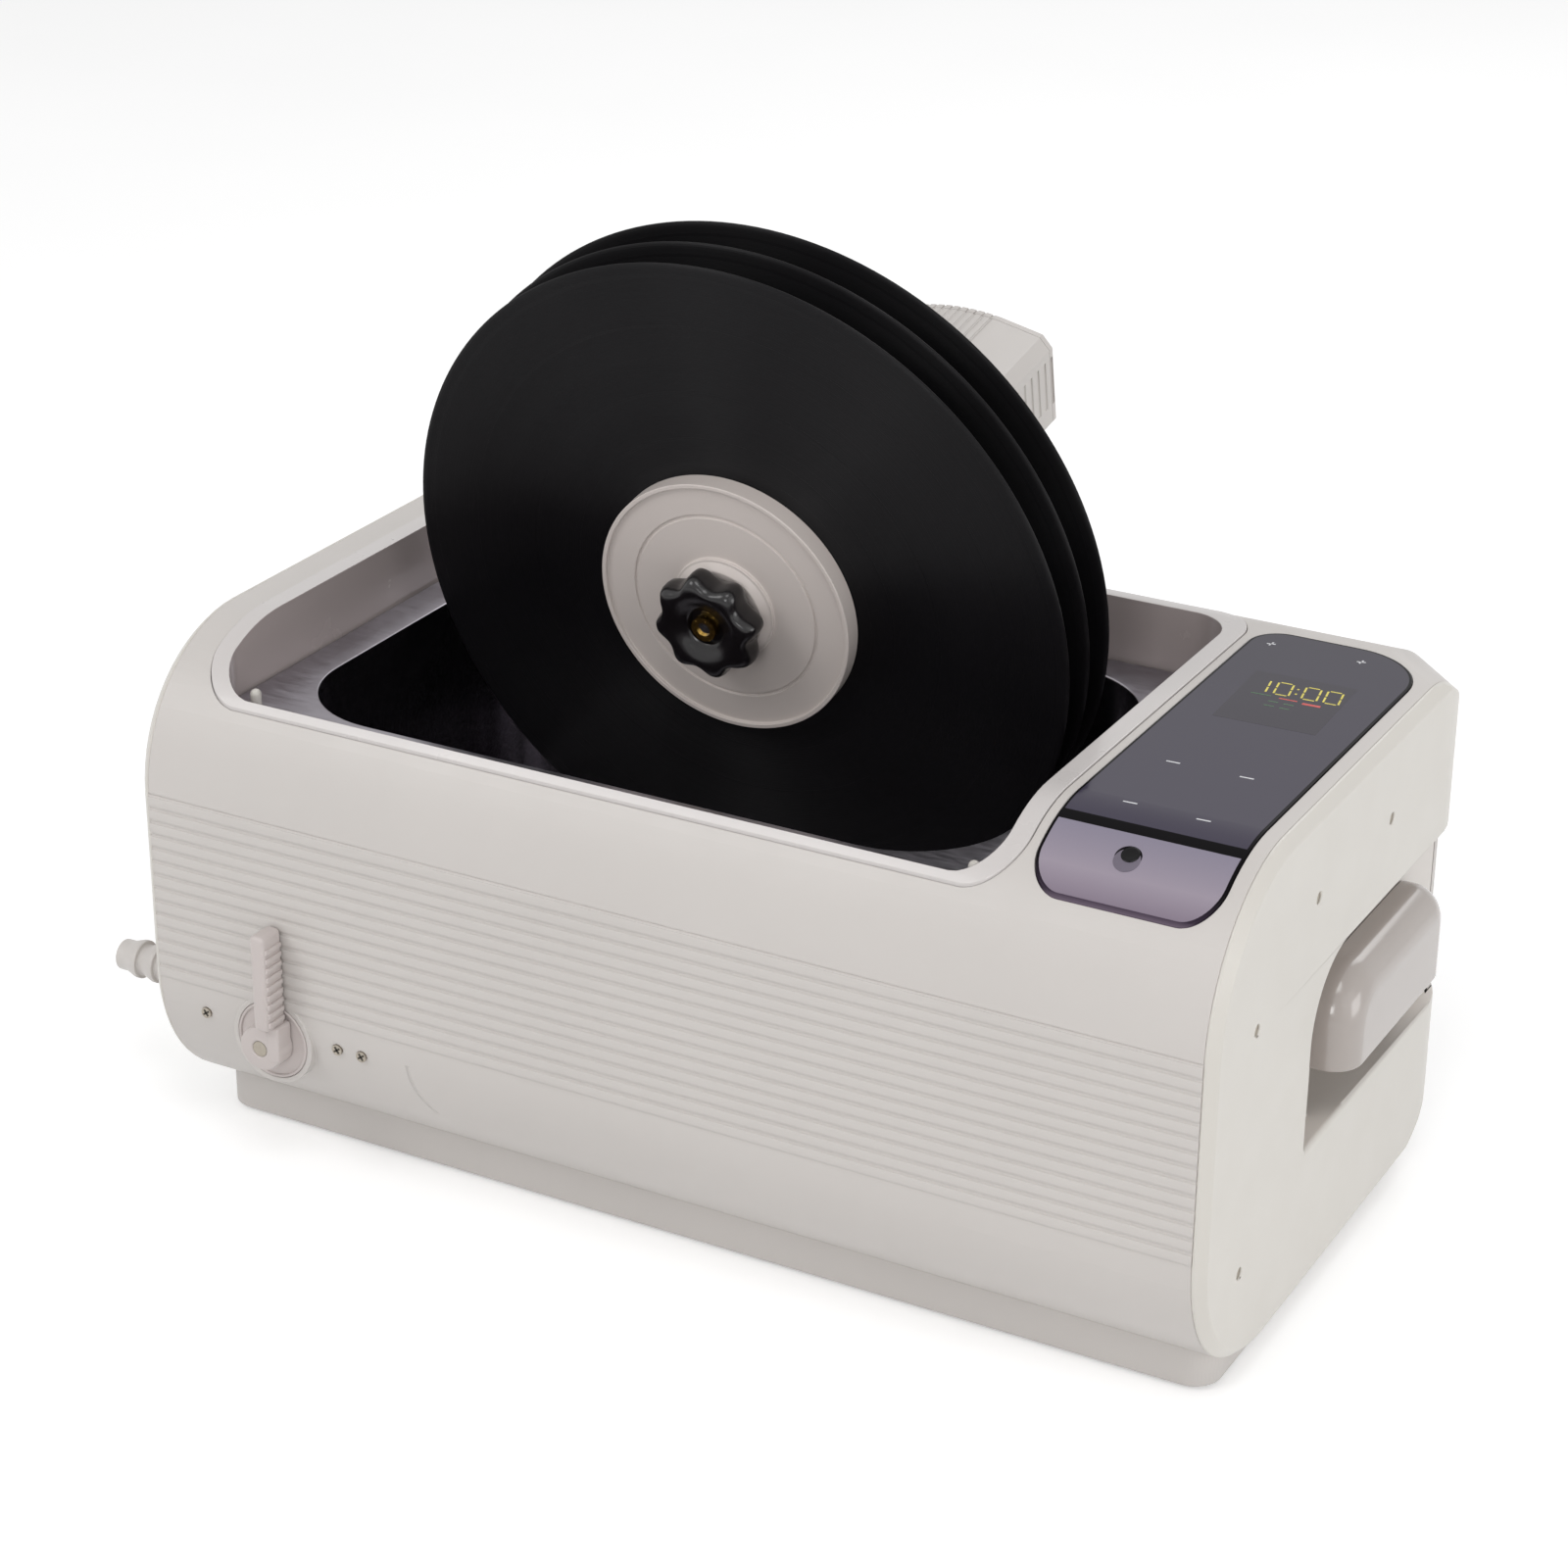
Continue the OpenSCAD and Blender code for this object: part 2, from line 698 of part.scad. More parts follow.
module panel_tray() color([0.30, 0.30, 0.32]) {
    difference() {
        block([tray_x0, tray_y0, tray_floor - tray_wall], [tray_x1, tray_y1, tray_top]);
        block([tray_x0 + tray_wall, tray_y0 + tray_wall, tray_floor],
            [tray_x1 - tray_wall, tray_y1 - tray_wall, tray_top + eps]);
    }
    for (x = [tray_x0 + 6, tray_x1 - 6], y = [tray_y0 + 6, tray_y1 - 6]) {
        translate([x, y, tray_floor - 0.5]) cylinder(h = 2, r = 2.5);
    }
}

module control_board() color([0.10, 0.38, 0.20]) {
    z = tray_floor + tray_gap;
    edge = tray_wall + sunk;
    block([tray_x0 + edge, tray_y0 + edge, z], [tray_x1 - edge, tray_y1 - edge, z + pcb]);
    translate([tray_x0 + chip_x, tray_y0 + chip_y, z + pcb - sunk]) cube([chip_side, chip_side, chip_height]);
    translate([tray_x0 + relay_x, tray_y0 + relay_y, z + pcb - sunk])
        cube([relay_length, relay_width, relay_height]);
}

module display_module() color([0.08, 0.08, 0.09]) {
    z = tray_floor + tray_gap + pcb;
    glass_under = body_height + glass_proud - glass_thickness;
    translate([panel_x0 + display_x, panel_y1 - display_rear - display_depth, z])
        cube([display_width, display_depth, glass_under - move_gap - z]);
}

module status_sensor() color([0.04, 0.04, 0.05]) {
    at_sensor() {
        translate([0, 0, -6]) cylinder(h = 7, r = sensor_radius);
        translate([0, 0, -8]) cylinder(h = 2, r = sensor_radius + 2);
    }
}

// Right grip; the left one is its mirror image
module grip() {
    r = grip_radius;
    difference() {
        intersection() {
            column(grip_bottom, grip_top)
                corner_rectangle(recess_floor, grip_front, grip_face, grip_rear, [0, r, r, 0]);
            translate([0, grip_rear + 1, 0]) rotate([90, 0, 0]) linear_extrude(grip_rear - grip_front + 2)
                corner_rectangle(recess_floor, grip_bottom, grip_face, grip_top, [0, 2, r, 0]);
            along_length(recess_floor, grip_face)
                corner_rectangle(grip_front, grip_bottom, grip_rear, grip_top, [4, 4, 12, grip_corner]);
        }
        block([recess_floor - 1, grip_front + grip_wall + 5, grip_bottom - 1],
            [grip_face - grip_wall, grip_rear - grip_wall - 5, grip_top - grip_wall - 7]);
    }
}

module right_grip() color([0.70, 0.67, 0.65]) grip();

module left_grip() color([0.70, 0.67, 0.65]) mirror([1, 0, 0]) grip();

module cap_screws() color([0.55, 0.55, 0.56]) {
    side_screws(right_screw_places);
    mirror([1, 0, 0]) side_screws(left_screw_places);
}

module side_screws(places) {
    for (p = places) {
        rod_x(plate_x - 3, end_x - 2.6, p[0], p[1], screw_radius);
        rod_x(end_x - 2.6, end_x - 0.8, p[0], p[1], screw_head);
    }
}

module front_screws() color([0.60, 0.60, 0.60]) {
    for (p = front_screw_places) {
        rod_y(valve_x + p[0], front_y + 1.2, front_y + 9, valve_z + p[1], screw_radius);
        rod_y(valve_x + p[0], front_y + 0.1, front_y + 1.2, valve_z + p[1], screw_head);
    }
}

horn_radius = 22;
horn_height = 18;
stack_radius = 17;
stack_height = 26;

module transducers() color([0.58, 0.60, 0.62]) {
    for (i = [-1:1]) {
        translate([opening_x + i * transducer_pitch, opening_y, tank_under]) {
            translate([0, 0, -horn_height]) cylinder(h = horn_height, r = horn_radius);
            translate([0, 0, -horn_height - stack_height]) cylinder(h = stack_height, r = stack_radius);
        }
    }
}

heater_side = 66;
heater_rise = 12;
heater_top = 52;
heater_thickness = 1.6;

module heater_pad() color([0.78, 0.42, 0.20]) {
    y = opening_y1 - flange_depth - flange_inset + tank_sheet;
    block([opening_x0 + heater_side, y, tank_floor + heater_rise],
        [opening_x1 - heater_side, y + heater_thickness, flange_bottom - heater_top]);
}

board_gap = 4;
board_x0 = opening_x1 + board_gap;
board_x1 = plate_x - board_gap - 2;
board_y0 = -62;
board_y1 = 66;
board_z = base_floor + 14;
coil_inset = 8;
coil_length = 36;
coil_depth = 34;
coil_height = 33;
sink_depth = 60;
sink_thickness = 6;
sink_height = 39;
can_radius = 8;
can_height = 30;
can_pitch = 22;

module generator_board() color([0.12, 0.40, 0.22]) {
    block([board_x0, board_y0, board_z], [board_x1, board_y1, board_z + pcb]);
    top = board_z + pcb - sunk;
    x = board_x0 + coil_inset;
    sink_y = board_y0 + 2 * coil_inset + coil_depth + coil_inset;
    translate([x, board_y0 + coil_inset, top]) cube([coil_length, coil_depth, coil_height]);
    translate([x, sink_y, top]) cube([sink_thickness, sink_depth, sink_height]);
    for (i = [0:2]) {
        translate([x + sink_thickness + 2 * can_radius, sink_y + can_radius + i * can_pitch, top])
            cylinder(h = can_height, r = can_radius);
    }
}

inlet_x = 176;
inlet_z = 72;
inlet_half = 14;
inlet_rise = 10.5;
inlet_wall = 2;
inlet_rim = 3;
pin_places = [[-6, -1.5], [6, -1.5], [0, 3.5]];

// Block of the power inlet, grown by a margin, between two distances behind the rear face
module inlet_block(margin, y0, y1) {
    block([inlet_x - inlet_half - margin, rear_y + y0, inlet_z - inlet_rise - margin],
        [inlet_x + inlet_half + margin, rear_y + y1, inlet_z + inlet_rise + margin]);
}

module power_inlet() color([0.06, 0.06, 0.06]) {
    difference() {
        union() {
            inlet_block(0, -22, 0);
            inlet_block(inlet_rim, 0, 2.2);
        }
        inlet_block(-inlet_wall, -14, 5);
    }
    for (p = pin_places) {
        translate([inlet_x + p[0], rear_y - 9, inlet_z + p[1]]) cube([2, 11, 4], center = true);
    }
}

vent_pitch = 6;
fan_x = 176;
fan_z = 128;
fan_half = 25;
fan_depth = 15;
fan_rear = rear_y - shell_wall;
fan_bore = 22.5;
fan_hub = 9;
fan_axle = 2;

module fan_frame() color([0.08, 0.08, 0.08]) {
    difference() {
        block([fan_x - fan_half, fan_rear - fan_depth, fan_z - fan_half],
            [fan_x + fan_half, fan_rear, fan_z + fan_half]);
        rod_y(fan_x, fan_rear - fan_depth - 1, fan_rear + 1, fan_z, fan_bore);
    }
    for (a = [45, 135]) {
        translate([fan_x, fan_rear - 1.2, fan_z]) rotate([0, a, 0])
            cube([2 * fan_bore + 2, 2, 3], center = true);
    }
    rod_y(fan_x, fan_rear - 2.4, fan_rear, fan_z, fan_hub);
    rod_y(fan_x, fan_rear - fan_depth + 2, fan_rear - 1, fan_z, fan_axle);
}

module fan_impeller() color([0.14, 0.14, 0.15]) {
    y0 = fan_rear - fan_depth + 1.5;
    y1 = fan_rear - 2.4 - move_gap;
    difference() {
        union() {
            rod_y(fan_x, y0, y1, fan_z, fan_hub);
            for (i = [0:6]) {
                translate([fan_x, (y0 + y1) / 2, fan_z]) rotate([0, i * 360 / 7, 0])
                    translate([0, 0, (fan_hub + fan_bore) / 2 - 1]) rotate([0, 0, 32])
                        cube([1.4, 9.6, fan_bore - fan_hub - 1], center = true);
            }
        }
        rod_y(fan_x, y0 - 1, y1 + 1, fan_z, fan_axle + shaft_gap);
    }
}

valve_radius = 11;
valve_end = 27;
ball_radius = 8;
stem_radius = 4;

module drain_elbow() color([0.85, 0.84, 0.80]) {
    start = valve_x + valve_end;
    difference() {
        union() {
            translate([drain_x, drain_y, valve_z]) cylinder(h = tank_under - valve_z, r = pipe_bore + 3);
            translate([drain_x, drain_y, tank_under - 2]) cylinder(h = 2, r = pipe_bore + 7);
            rod_y(drain_x, pipe_y, drain_y, valve_z, pipe_bore + 3);
            rod_x(start, drain_x, pipe_y, valve_z, pipe_bore + 3);
            translate([drain_x, drain_y, valve_z]) sphere(pipe_bore + 3);
            translate([drain_x, pipe_y, valve_z]) sphere(pipe_bore + 3);
        }
        translate([drain_x, drain_y, valve_z]) cylinder(h = tank_under - valve_z + eps, r = pipe_bore);
        rod_y(drain_x, pipe_y, drain_y, valve_z, pipe_bore);
        rod_x(start - eps, drain_x, pipe_y, valve_z, pipe_bore);
        translate([drain_x, drain_y, valve_z]) sphere(pipe_bore);
        translate([drain_x, pipe_y, valve_z]) sphere(pipe_bore);
    }
}

module valve_body() color([0.80, 0.66, 0.36]) {
    difference() {
        union() {
            rod_x(valve_x - valve_end, valve_x + valve_end, pipe_y, valve_z, valve_radius);
            rod_y(valve_x, pipe_y - 18, pipe_y, valve_z, 8);
        }
        rod_x(valve_x - valve_end - 1, valve_x + valve_end + 1, pipe_y, valve_z, pipe_bore);
        translate([valve_x, pipe_y, valve_z]) rotate([0, 90, 0]) sphere(ball_radius + fit_gap);
        rod_y(valve_x, pipe_y - 20, pipe_y, valve_z, stem_radius + shaft_gap);
    }
}

barb_pitch = 9;
ridge_length = 5;
ridge_land = 2;

module hose_barb() color([0.80, 0.78, 0.75]) {
    x1 = valve_x - valve_end;
    tip = -end_x - barb_length;
    difference() {
        union() {
            rod_x(tip, x1, pipe_y, valve_z, pipe_outer);
            rod_x(-end_x - 4, -end_x, pipe_y, valve_z, barb_radius + 2);
            for (i = [0:2]) {
                translate([tip + barb_pitch / 2 + i * barb_pitch, pipe_y, valve_z]) rotate([0, 90, 0]) {
                    cylinder(h = ridge_length, r1 = pipe_outer, r2 = barb_radius);
                    translate([0, 0, ridge_length]) cylinder(h = ridge_land, r = barb_radius);
                }
            }
        }
        rod_x(tip - 1, x1 + 1, pipe_y, valve_z, pipe_bore);
    }
}

module valve_escutcheon() color([0.79, 0.77, 0.74]) {
    difference() {
        rod_y(valve_x, front_y - 0.1, front_y + 1.1, valve_z, escutcheon_radius);
        rod_y(valve_x, front_y - 5, front_y + 5, valve_z, stem_radius + 0.3);
    }
}

hub_front = front_y - 10;

module valve_lever() color([0.78, 0.76, 0.74]) {
    blade_x = valve_x + lever_offset;
    blade_front = front_y - lever_proud;
    difference() {
        union() {
            rod_y(valve_x, hub_front, front_y - 0.1 - move_gap, valve_z, 10);
            block([blade_x - lever_width / 2, blade_front, valve_z + 4],
                [blade_x + lever_width / 2, blade_front + lever_depth, valve_z + lever_length]);
        }
        rod_y(valve_x, hub_front + 4, front_y + 5, valve_z, stem_radius + shaft_gap);
        rod_y(valve_x, hub_front - 6, hub_front + 5, valve_z, screw_radius + shaft_gap);
        rod_y(valve_x, hub_front - 6, hub_front + 2, valve_z, 3.6);
    }
}

module valve_stem() color([0.72, 0.72, 0.70]) {
    difference() {
        rod_y(valve_x, hub_front + 4, pipe_y - ball_radius + 3, valve_z, stem_radius);
        rod_y(valve_x, hub_front + 3, hub_front + 13, valve_z, screw_radius + shaft_gap);
    }
}

module valve_ball() color([0.86, 0.87, 0.88]) {
    difference() {
        translate([valve_x, pipe_y, valve_z]) sphere(ball_radius);
        translate([valve_x, pipe_y, valve_z - 10]) cylinder(h = 20, r = pipe_bore - 0.5);
        rod_y(valve_x, pipe_y - ball_radius - 1, pipe_y - ball_radius + 3, valve_z, stem_radius + shaft_gap);
    }
}

module lever_screw() color([0.62, 0.62, 0.62]) {
    rod_y(valve_x, hub_front + 0.4, hub_front + 2, valve_z, 3.4);
    rod_y(valve_x, hub_front + 2, hub_front + 12, valve_z, screw_radius);
}

bracket_half = 34;
bracket_top = body_height + 5;
bracket_bottom = bracket_top - 84;
bracket_sheet = 3;
ear_sheet = 4;
ear_drop = 54;
bracket_screw_places = [for (x = [-24, 24], rise = [8, 28]) [x, bracket_bottom + rise]];

module ear_plan() {
    translate([pivot_y, pivot_z]) circle(hinge_radius);
    root = rear_y + bracket_sheet / 2;
    polygon([[root, pivot_z - ear_drop], [pivot_y + hinge_radius * 0.8, pivot_z - hinge_radius * 0.6],
        [pivot_y - hinge_radius * 0.6, pivot_z + hinge_radius * 0.8], [root, bracket_top]]);
}

module tilt_bracket() color([0.56, 0.57, 0.58]) {
    inner = barrel_half + move_gap;
    difference() {
        union() {
            block([opening_x - bracket_half, rear_y, bracket_bottom],
                [opening_x + bracket_half, rear_y + bracket_sheet, bracket_top]);
            along_length(opening_x - inner - ear_sheet, opening_x - inner) ear_plan();
            along_length(opening_x + inner, opening_x + inner + ear_sheet) ear_plan();
        }
        rod_x(opening_x - 60, opening_x + 60, pivot_y, pivot_z, pin_radius + shaft_gap);
        for (p = bracket_screw_places) {
            rod_y(opening_x + p[0], rear_y - 10, rear_y + 10, p[1], screw_radius + 0.5 + shaft_gap);
        }
    }
}

module bracket_screws() color([0.60, 0.60, 0.61]) {
    for (p = bracket_screw_places) {
        rod_y(opening_x + p[0], rear_y - 8, rear_y + bracket_sheet, p[1], screw_radius + 0.5);
        rod_y(opening_x + p[0], rear_y + bracket_sheet, rear_y + bracket_sheet + 2.4, p[1], 3.8);
    }
}

module hinge_pin() color([0.72, 0.73, 0.74]) {
    reach = barrel_half + move_gap + ear_sheet;
    rod_x(opening_x - reach - 3, opening_x + reach + 3, pivot_y, pivot_z, pin_radius);
    rod_x(opening_x + reach, opening_x + reach + 3, pivot_y, pivot_z, pin_radius + 2);
    rod_x(opening_x - reach - 3, opening_x - reach, pivot_y, pivot_z, pin_radius + 2);
}

// Cross-section of the drive housing, drawn as width by height over the spindle
module housing_section(inset) {
    half = housing_width / 2 - inset;
    edge = 4.4;
    arch = (crown_half * crown_half + crown_rise * crown_rise) / (2 * crown_rise);
    intersection() {
        polygon([[-half, -housing_drop + inset], [half, -housing_drop + inset],
            [half, housing_shoulder - edge - inset], [half - edge, housing_shoulder + edge / 3 - inset],
            [crown_half, housing_crown - crown_rise - inset], [crown_half, housing_crown + 2],
            [-crown_half, housing_crown + 2], [-crown_half, housing_crown - crown_rise - inset],
            [-half + edge, housing_shoulder + edge / 3 - inset], [-half, housing_shoulder - edge - inset]]);
        union() {
            translate([0, housing_crown - inset - arch]) circle(arch);
            for (side = [0, 1]) {
                mirror([side, 0]) translate([crown_half - 0.5, -housing_drop])
                    square([half, housing_drop + housing_crown - crown_rise - inset]);
            }
        }
    }
}

// Stands the housing's section between two places along the spindle
module along_spindle(w0, w1) {
    translate([0, w1, 0]) rotate([90, 0, 0]) linear_extrude(w1 - w0) children();
}

cover_thickness = 3;
motor_plate = 3;
crown_rise = 2.4;
bearing_length = 7;
bearing_radius = 11;
front_bearing_at = housing_front + 2;
rear_bearing_at = housing_front + 17;
motor_plate_at = housing_front + 44;
cover_screw_places = [[-36, -15], [36, -15], [-36, 8], [36, 8]];

module drive_housing() color([0.82, 0.81, 0.79]) on_spindle() {
    joint = housing_rear - cover_thickness;
    difference() {
        union() {
            difference() {
                along_spindle(housing_front, joint) housing_section(0);
                along_spindle(housing_front + housing_wall, joint + eps) housing_section(housing_wall);
            }
            rod_y(0, housing_front + 1, front_bearing_at + bearing_length, 0, bearing_radius + 3);
            along_spindle(rear_bearing_at - 1, rear_bearing_at + bearing_length - 2)
                housing_section(housing_wall - 0.5);
            along_spindle(motor_plate_at, motor_plate_at + motor_plate) housing_section(housing_wall - 0.5);
            rod_x(-barrel_half, barrel_half, hinge_back, -hinge_drop, hinge_radius);
            block([-barrel_half, hinge_back - hinge_radius + 0.5, -hinge_drop],
                [barrel_half, hinge_back + hinge_radius - 0.5, -housing_drop + 1]);
            for (p = cover_screw_places) {
                rod_y(p[0], motor_plate_at + 2, joint, p[1], 4);
            }
        }
        rod_y(0, housing_front - 1, housing_front + 60, 0, spindle_radius + 0.5);
        rod_y(0, front_bearing_at, front_bearing_at + bearing_length + 1, 0, bearing_radius + 0.02);
        rod_y(0, rear_bearing_at, rear_bearing_at + bearing_length, 0, bearing_radius + 0.02);
        rod_y(0, motor_plate_at - 1, motor_plate_at + motor_plate + 1, 0, motor_spigot + 0.1);
        rod_x(-60, 60, hinge_back, -hinge_drop, pin_radius + shaft_gap);
        for (p = cover_screw_places) {
            rod_y(p[0], motor_plate_at + 10, joint + 1, p[1], screw_radius + shaft_gap);
        }
        housing_grooves(1, 11);
    }
}

// Upright grooves in the housing's sides and shallow ones along its top
module housing_grooves(first, last) {
    for (i = [first:last], side = [-1, 1]) {
        w = housing_rear - 1.6 - i * 7;
        block([side * housing_width / 2 - 0.7, w - 1.1, -14], [side * housing_width / 2 + 0.7, w + 1.1, 9]);
    }
    for (i = [-4:4]) {
        block([i * 4 - 0.6, housing_front - 1, housing_crown - 0.5 - i * i * 0.08],
            [i * 4 + 0.6, housing_rear + 1, housing_crown + 2]);
    }
}

module drive_cover() color([0.82, 0.81, 0.79]) on_spindle() {
    difference() {
        along_spindle(housing_rear - cover_thickness, housing_rear) housing_section(0);
        for (p = cover_screw_places) {
            rod_y(p[0], housing_rear - cover_thickness - 1, housing_rear + 1, p[1], screw_radius + shaft_gap);
            rod_y(p[0], housing_rear - 1.6, housing_rear + 1, p[1], screw_head + 0.1);
        }
        housing_grooves(0, 0);
    }
}

module cover_screws() color([0.60, 0.60, 0.60]) on_spindle() {
    for (p = cover_screw_places) {
        rod_y(p[0], housing_rear - 14, housing_rear - 1.6, p[1], screw_radius);
        rod_y(p[0], housing_rear - 1.6, housing_rear - 0.2, p[1], screw_head);
    }
}

gearbox_length = 16;
gearbox_radius = 17;
motor_length = 22;
motor_radius = 14;
motor_spigot = 9.9;
motor_shaft_radius = 3;

module gear_motor() color([0.66, 0.67, 0.68]) on_spindle() {
    start = motor_plate_at + motor_plate;
    difference() {
        union() {
            rod_y(0, start, start + gearbox_length, 0, gearbox_radius);
            rod_y(0, start + gearbox_length, start + gearbox_length + motor_length, 0, motor_radius);
            rod_y(0, start - motor_plate, start, 0, motor_spigot);
        }
        rod_y(0, start - 4, start + gearbox_length - 1.5, 0, motor_shaft_radius + shaft_gap);
    }
}

module motor_shaft() color([0.78, 0.79, 0.80]) on_spindle() {
    rod_y(0, coupling_start + 10, motor_plate_at + motor_plate + gearbox_length - 2, 0, motor_shaft_radius);
}

module bearing(at) on_spindle() {
    difference() {
        rod_y(0, at, at + bearing_length, 0, bearing_radius);
        rod_y(0, at - 1, at + bearing_length + 1, 0, spindle_radius + shaft_gap);
    }
}

module front_bearing() color([0.72, 0.55, 0.30]) bearing(front_bearing_at);

module rear_bearing() color([0.72, 0.55, 0.30]) bearing(rear_bearing_at);

coupling_start = rear_bearing_at + bearing_length + 1.5;
coupling_end = motor_plate_at - 0.6;

module spindle() color([0.80, 0.81, 0.82]) on_spindle() {
    rod_y(0, knob_end + 3, stack_front, 0, thread_radius);
    rod_y(0, stack_front, stack_rear, 0, spindle_front_radius);
    rod_y(0, stack_rear, coupling_start + 9, 0, spindle_radius);
    rod_y(0, stack_rear, stack_rear + 4, 0, spindle_radius + 6);
}

module shaft_coupling() color([0.66, 0.66, 0.67]) on_spindle() {
    difference() {
        rod_y(0, coupling_start, coupling_end, 0, 9);
        rod_y(0, coupling_start - 1, coupling_start + 9.2, 0, spindle_radius + 0.02);
        rod_y(0, coupling_start + 9, coupling_end + 1, 0, motor_shaft_radius + 0.02);
    }
}

// Label disc whose flat back lies on a record; the face looks toward the front
module label_disc(back, hub) {
    r = disc_diameter / 2;
    face = back - disc_thickness + disc_lip;
    difference() {
        union() {
            rod_y(0, face, back, 0, r);
            rod_y_tube(back - disc_thickness, face + 0.5, r, r - 2);
            rod_y(0, back - disc_thickness, back, 0, disc_hub_diameter / 2);
            if (hub) {
                translate([0, back - disc_thickness, 0]) rotate([90, 0, 0])
                    cylinder(h = hub_rise, r1 = disc_hub_diameter / 2 - 1, r2 = disc_hub_diameter / 2 - 4);
            }
        }
        rod_y(0, back - 30, back + 5, 0, spindle_front_radius + shaft_gap);
        rod_y_tube(face - 1, face + 0.8, disc_ring_diameter / 2 + 0.6, disc_ring_diameter / 2 - 0.6);
        rod_y_tube(back - seal_deep, back + 1, disc_seal_radius + 1.2, disc_seal_radius - 1.2);
    }
}

// Turns a disc over, so that its flat back lies on the record in front of it
module turned(middle) {
    translate([0, 2 * middle, 0]) mirror([0, 1, 0]) children();
}

module rod_y_tube(y0, y1, outer, inner) {
    difference() {
        rod_y(0, y0, y1, 0, outer);
        rod_y(0, y0 - 1, y1 + 1, 0, inner);
    }
}

seal_deep = 1.4;
disc_seal_radius = 52;
front_face = -record_thickness / 2;

module label_disc_1() color([0.68, 0.65, 0.63]) on_spindle() label_disc(front_face, true);

module label_disc_2() color([0.68, 0.65, 0.63]) on_spindle() turned(0) label_disc(front_face, false);

module label_disc_3() color([0.68, 0.65, 0.63]) on_spindle() label_disc(record_pitch + front_face, false);

module label_disc_4() color([0.68, 0.65, 0.63]) on_spindle() turned(record_pitch)
    label_disc(record_pitch + front_face, false);

module label_disc_5() color([0.68, 0.65, 0.63]) on_spindle() label_disc(2 * record_pitch + front_face, false);

module label_disc_6() color([0.68, 0.65, 0.63]) on_spindle() turned(2 * record_pitch)
    label_disc(2 * record_pitch + front_face, false);

module label_seals() color([0.15, 0.15, 0.15]) on_spindle() {
    for (i = [0:2]) {
        y = i * record_pitch;
        for (side = [-1, 1]) {
            near = y + side * record_thickness / 2;
            far = near + side * (seal_deep - shaft_gap);
            rod_y_tube(min(near, far), max(near, far), disc_seal_radius + 1.1, disc_seal_radius - 1.1);
        }
    }
}

module record(i) on_spindle() {
    y = i * record_pitch;
    difference() {
        rod_y(0, y - record_thickness / 2, y + record_thickness / 2, 0, record_diameter / 2);
        rod_y(0, y - 5, y + 5, 0, record_hole / 2);
    }
}

module record_1() color([0.07, 0.07, 0.08]) record(0);

module record_2() color([0.07, 0.07, 0.08]) record(1);

module record_3() color([0.07, 0.07, 0.08]) record(2);

insert_radius = 5.5;

// Outline of the knob's lobed grip
module knob_outline() {
    lobe = 6;
    r = knob_diameter / 2 - lobe;
    circle(r + 1.5);
    for (i = [0:knob_lobes - 1]) {
        translate([r * sin(i * 360 / knob_lobes), r * cos(i * 360 / knob_lobes)]) circle(lobe);
    }
}

module clamp_knob() color([0.04, 0.04, 0.05]) on_spindle() {
    difference() {
        union() {
            along_spindle(knob_end, knob_start - 2) knob_outline();
            rod_y(0, knob_start - 3, knob_start, 0, 15);
        }
        rod_y(0, knob_end - 1, knob_start + 1, 0, insert_radius + 0.02);
        rod_y(0, knob_end - 1, knob_end + 3, 0, 8);
    }
}

module knob_insert() color([0.80, 0.62, 0.28]) on_spindle() {
    rod_y_tube(knob_end + 2, knob_start - 0.5, insert_radius, thread_radius + shaft_gap);
}

main_shell();
left_end_cap();
right_end_cap();
base_tray();
rubber_feet();
left_end_plate();
right_end_plate();
well_liner();
tank_seal();
tank();
lid_posts();
panel_glass();
panel_tray();
control_board();
display_module();
status_sensor();
left_grip();
right_grip();
cap_screws();
front_screws();
transducers();
heater_pad();
generator_board();
power_inlet();
fan_frame();
fan_impeller();
drain_elbow();
valve_body();
hose_barb();
valve_escutcheon();
valve_lever();
valve_stem();
valve_ball();
lever_screw();
tilt_bracket();
bracket_screws();
hinge_pin();
drive_housing();
drive_cover();
cover_screws();
gear_motor();
front_bearing();
rear_bearing();
spindle();
shaft_coupling();
motor_shaft();
label_disc_1();
label_disc_2();
label_disc_3();
label_disc_4();
label_disc_5();
label_disc_6();
label_seals();
record_1();
record_2();
record_3();
clamp_knob();
knob_insert();
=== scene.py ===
"""Looks of the record cleaning machine: finishes, softened edges, fine detail, lights and camera."""

import math

import bmesh
import bpy
from mathutils import Matrix, Vector


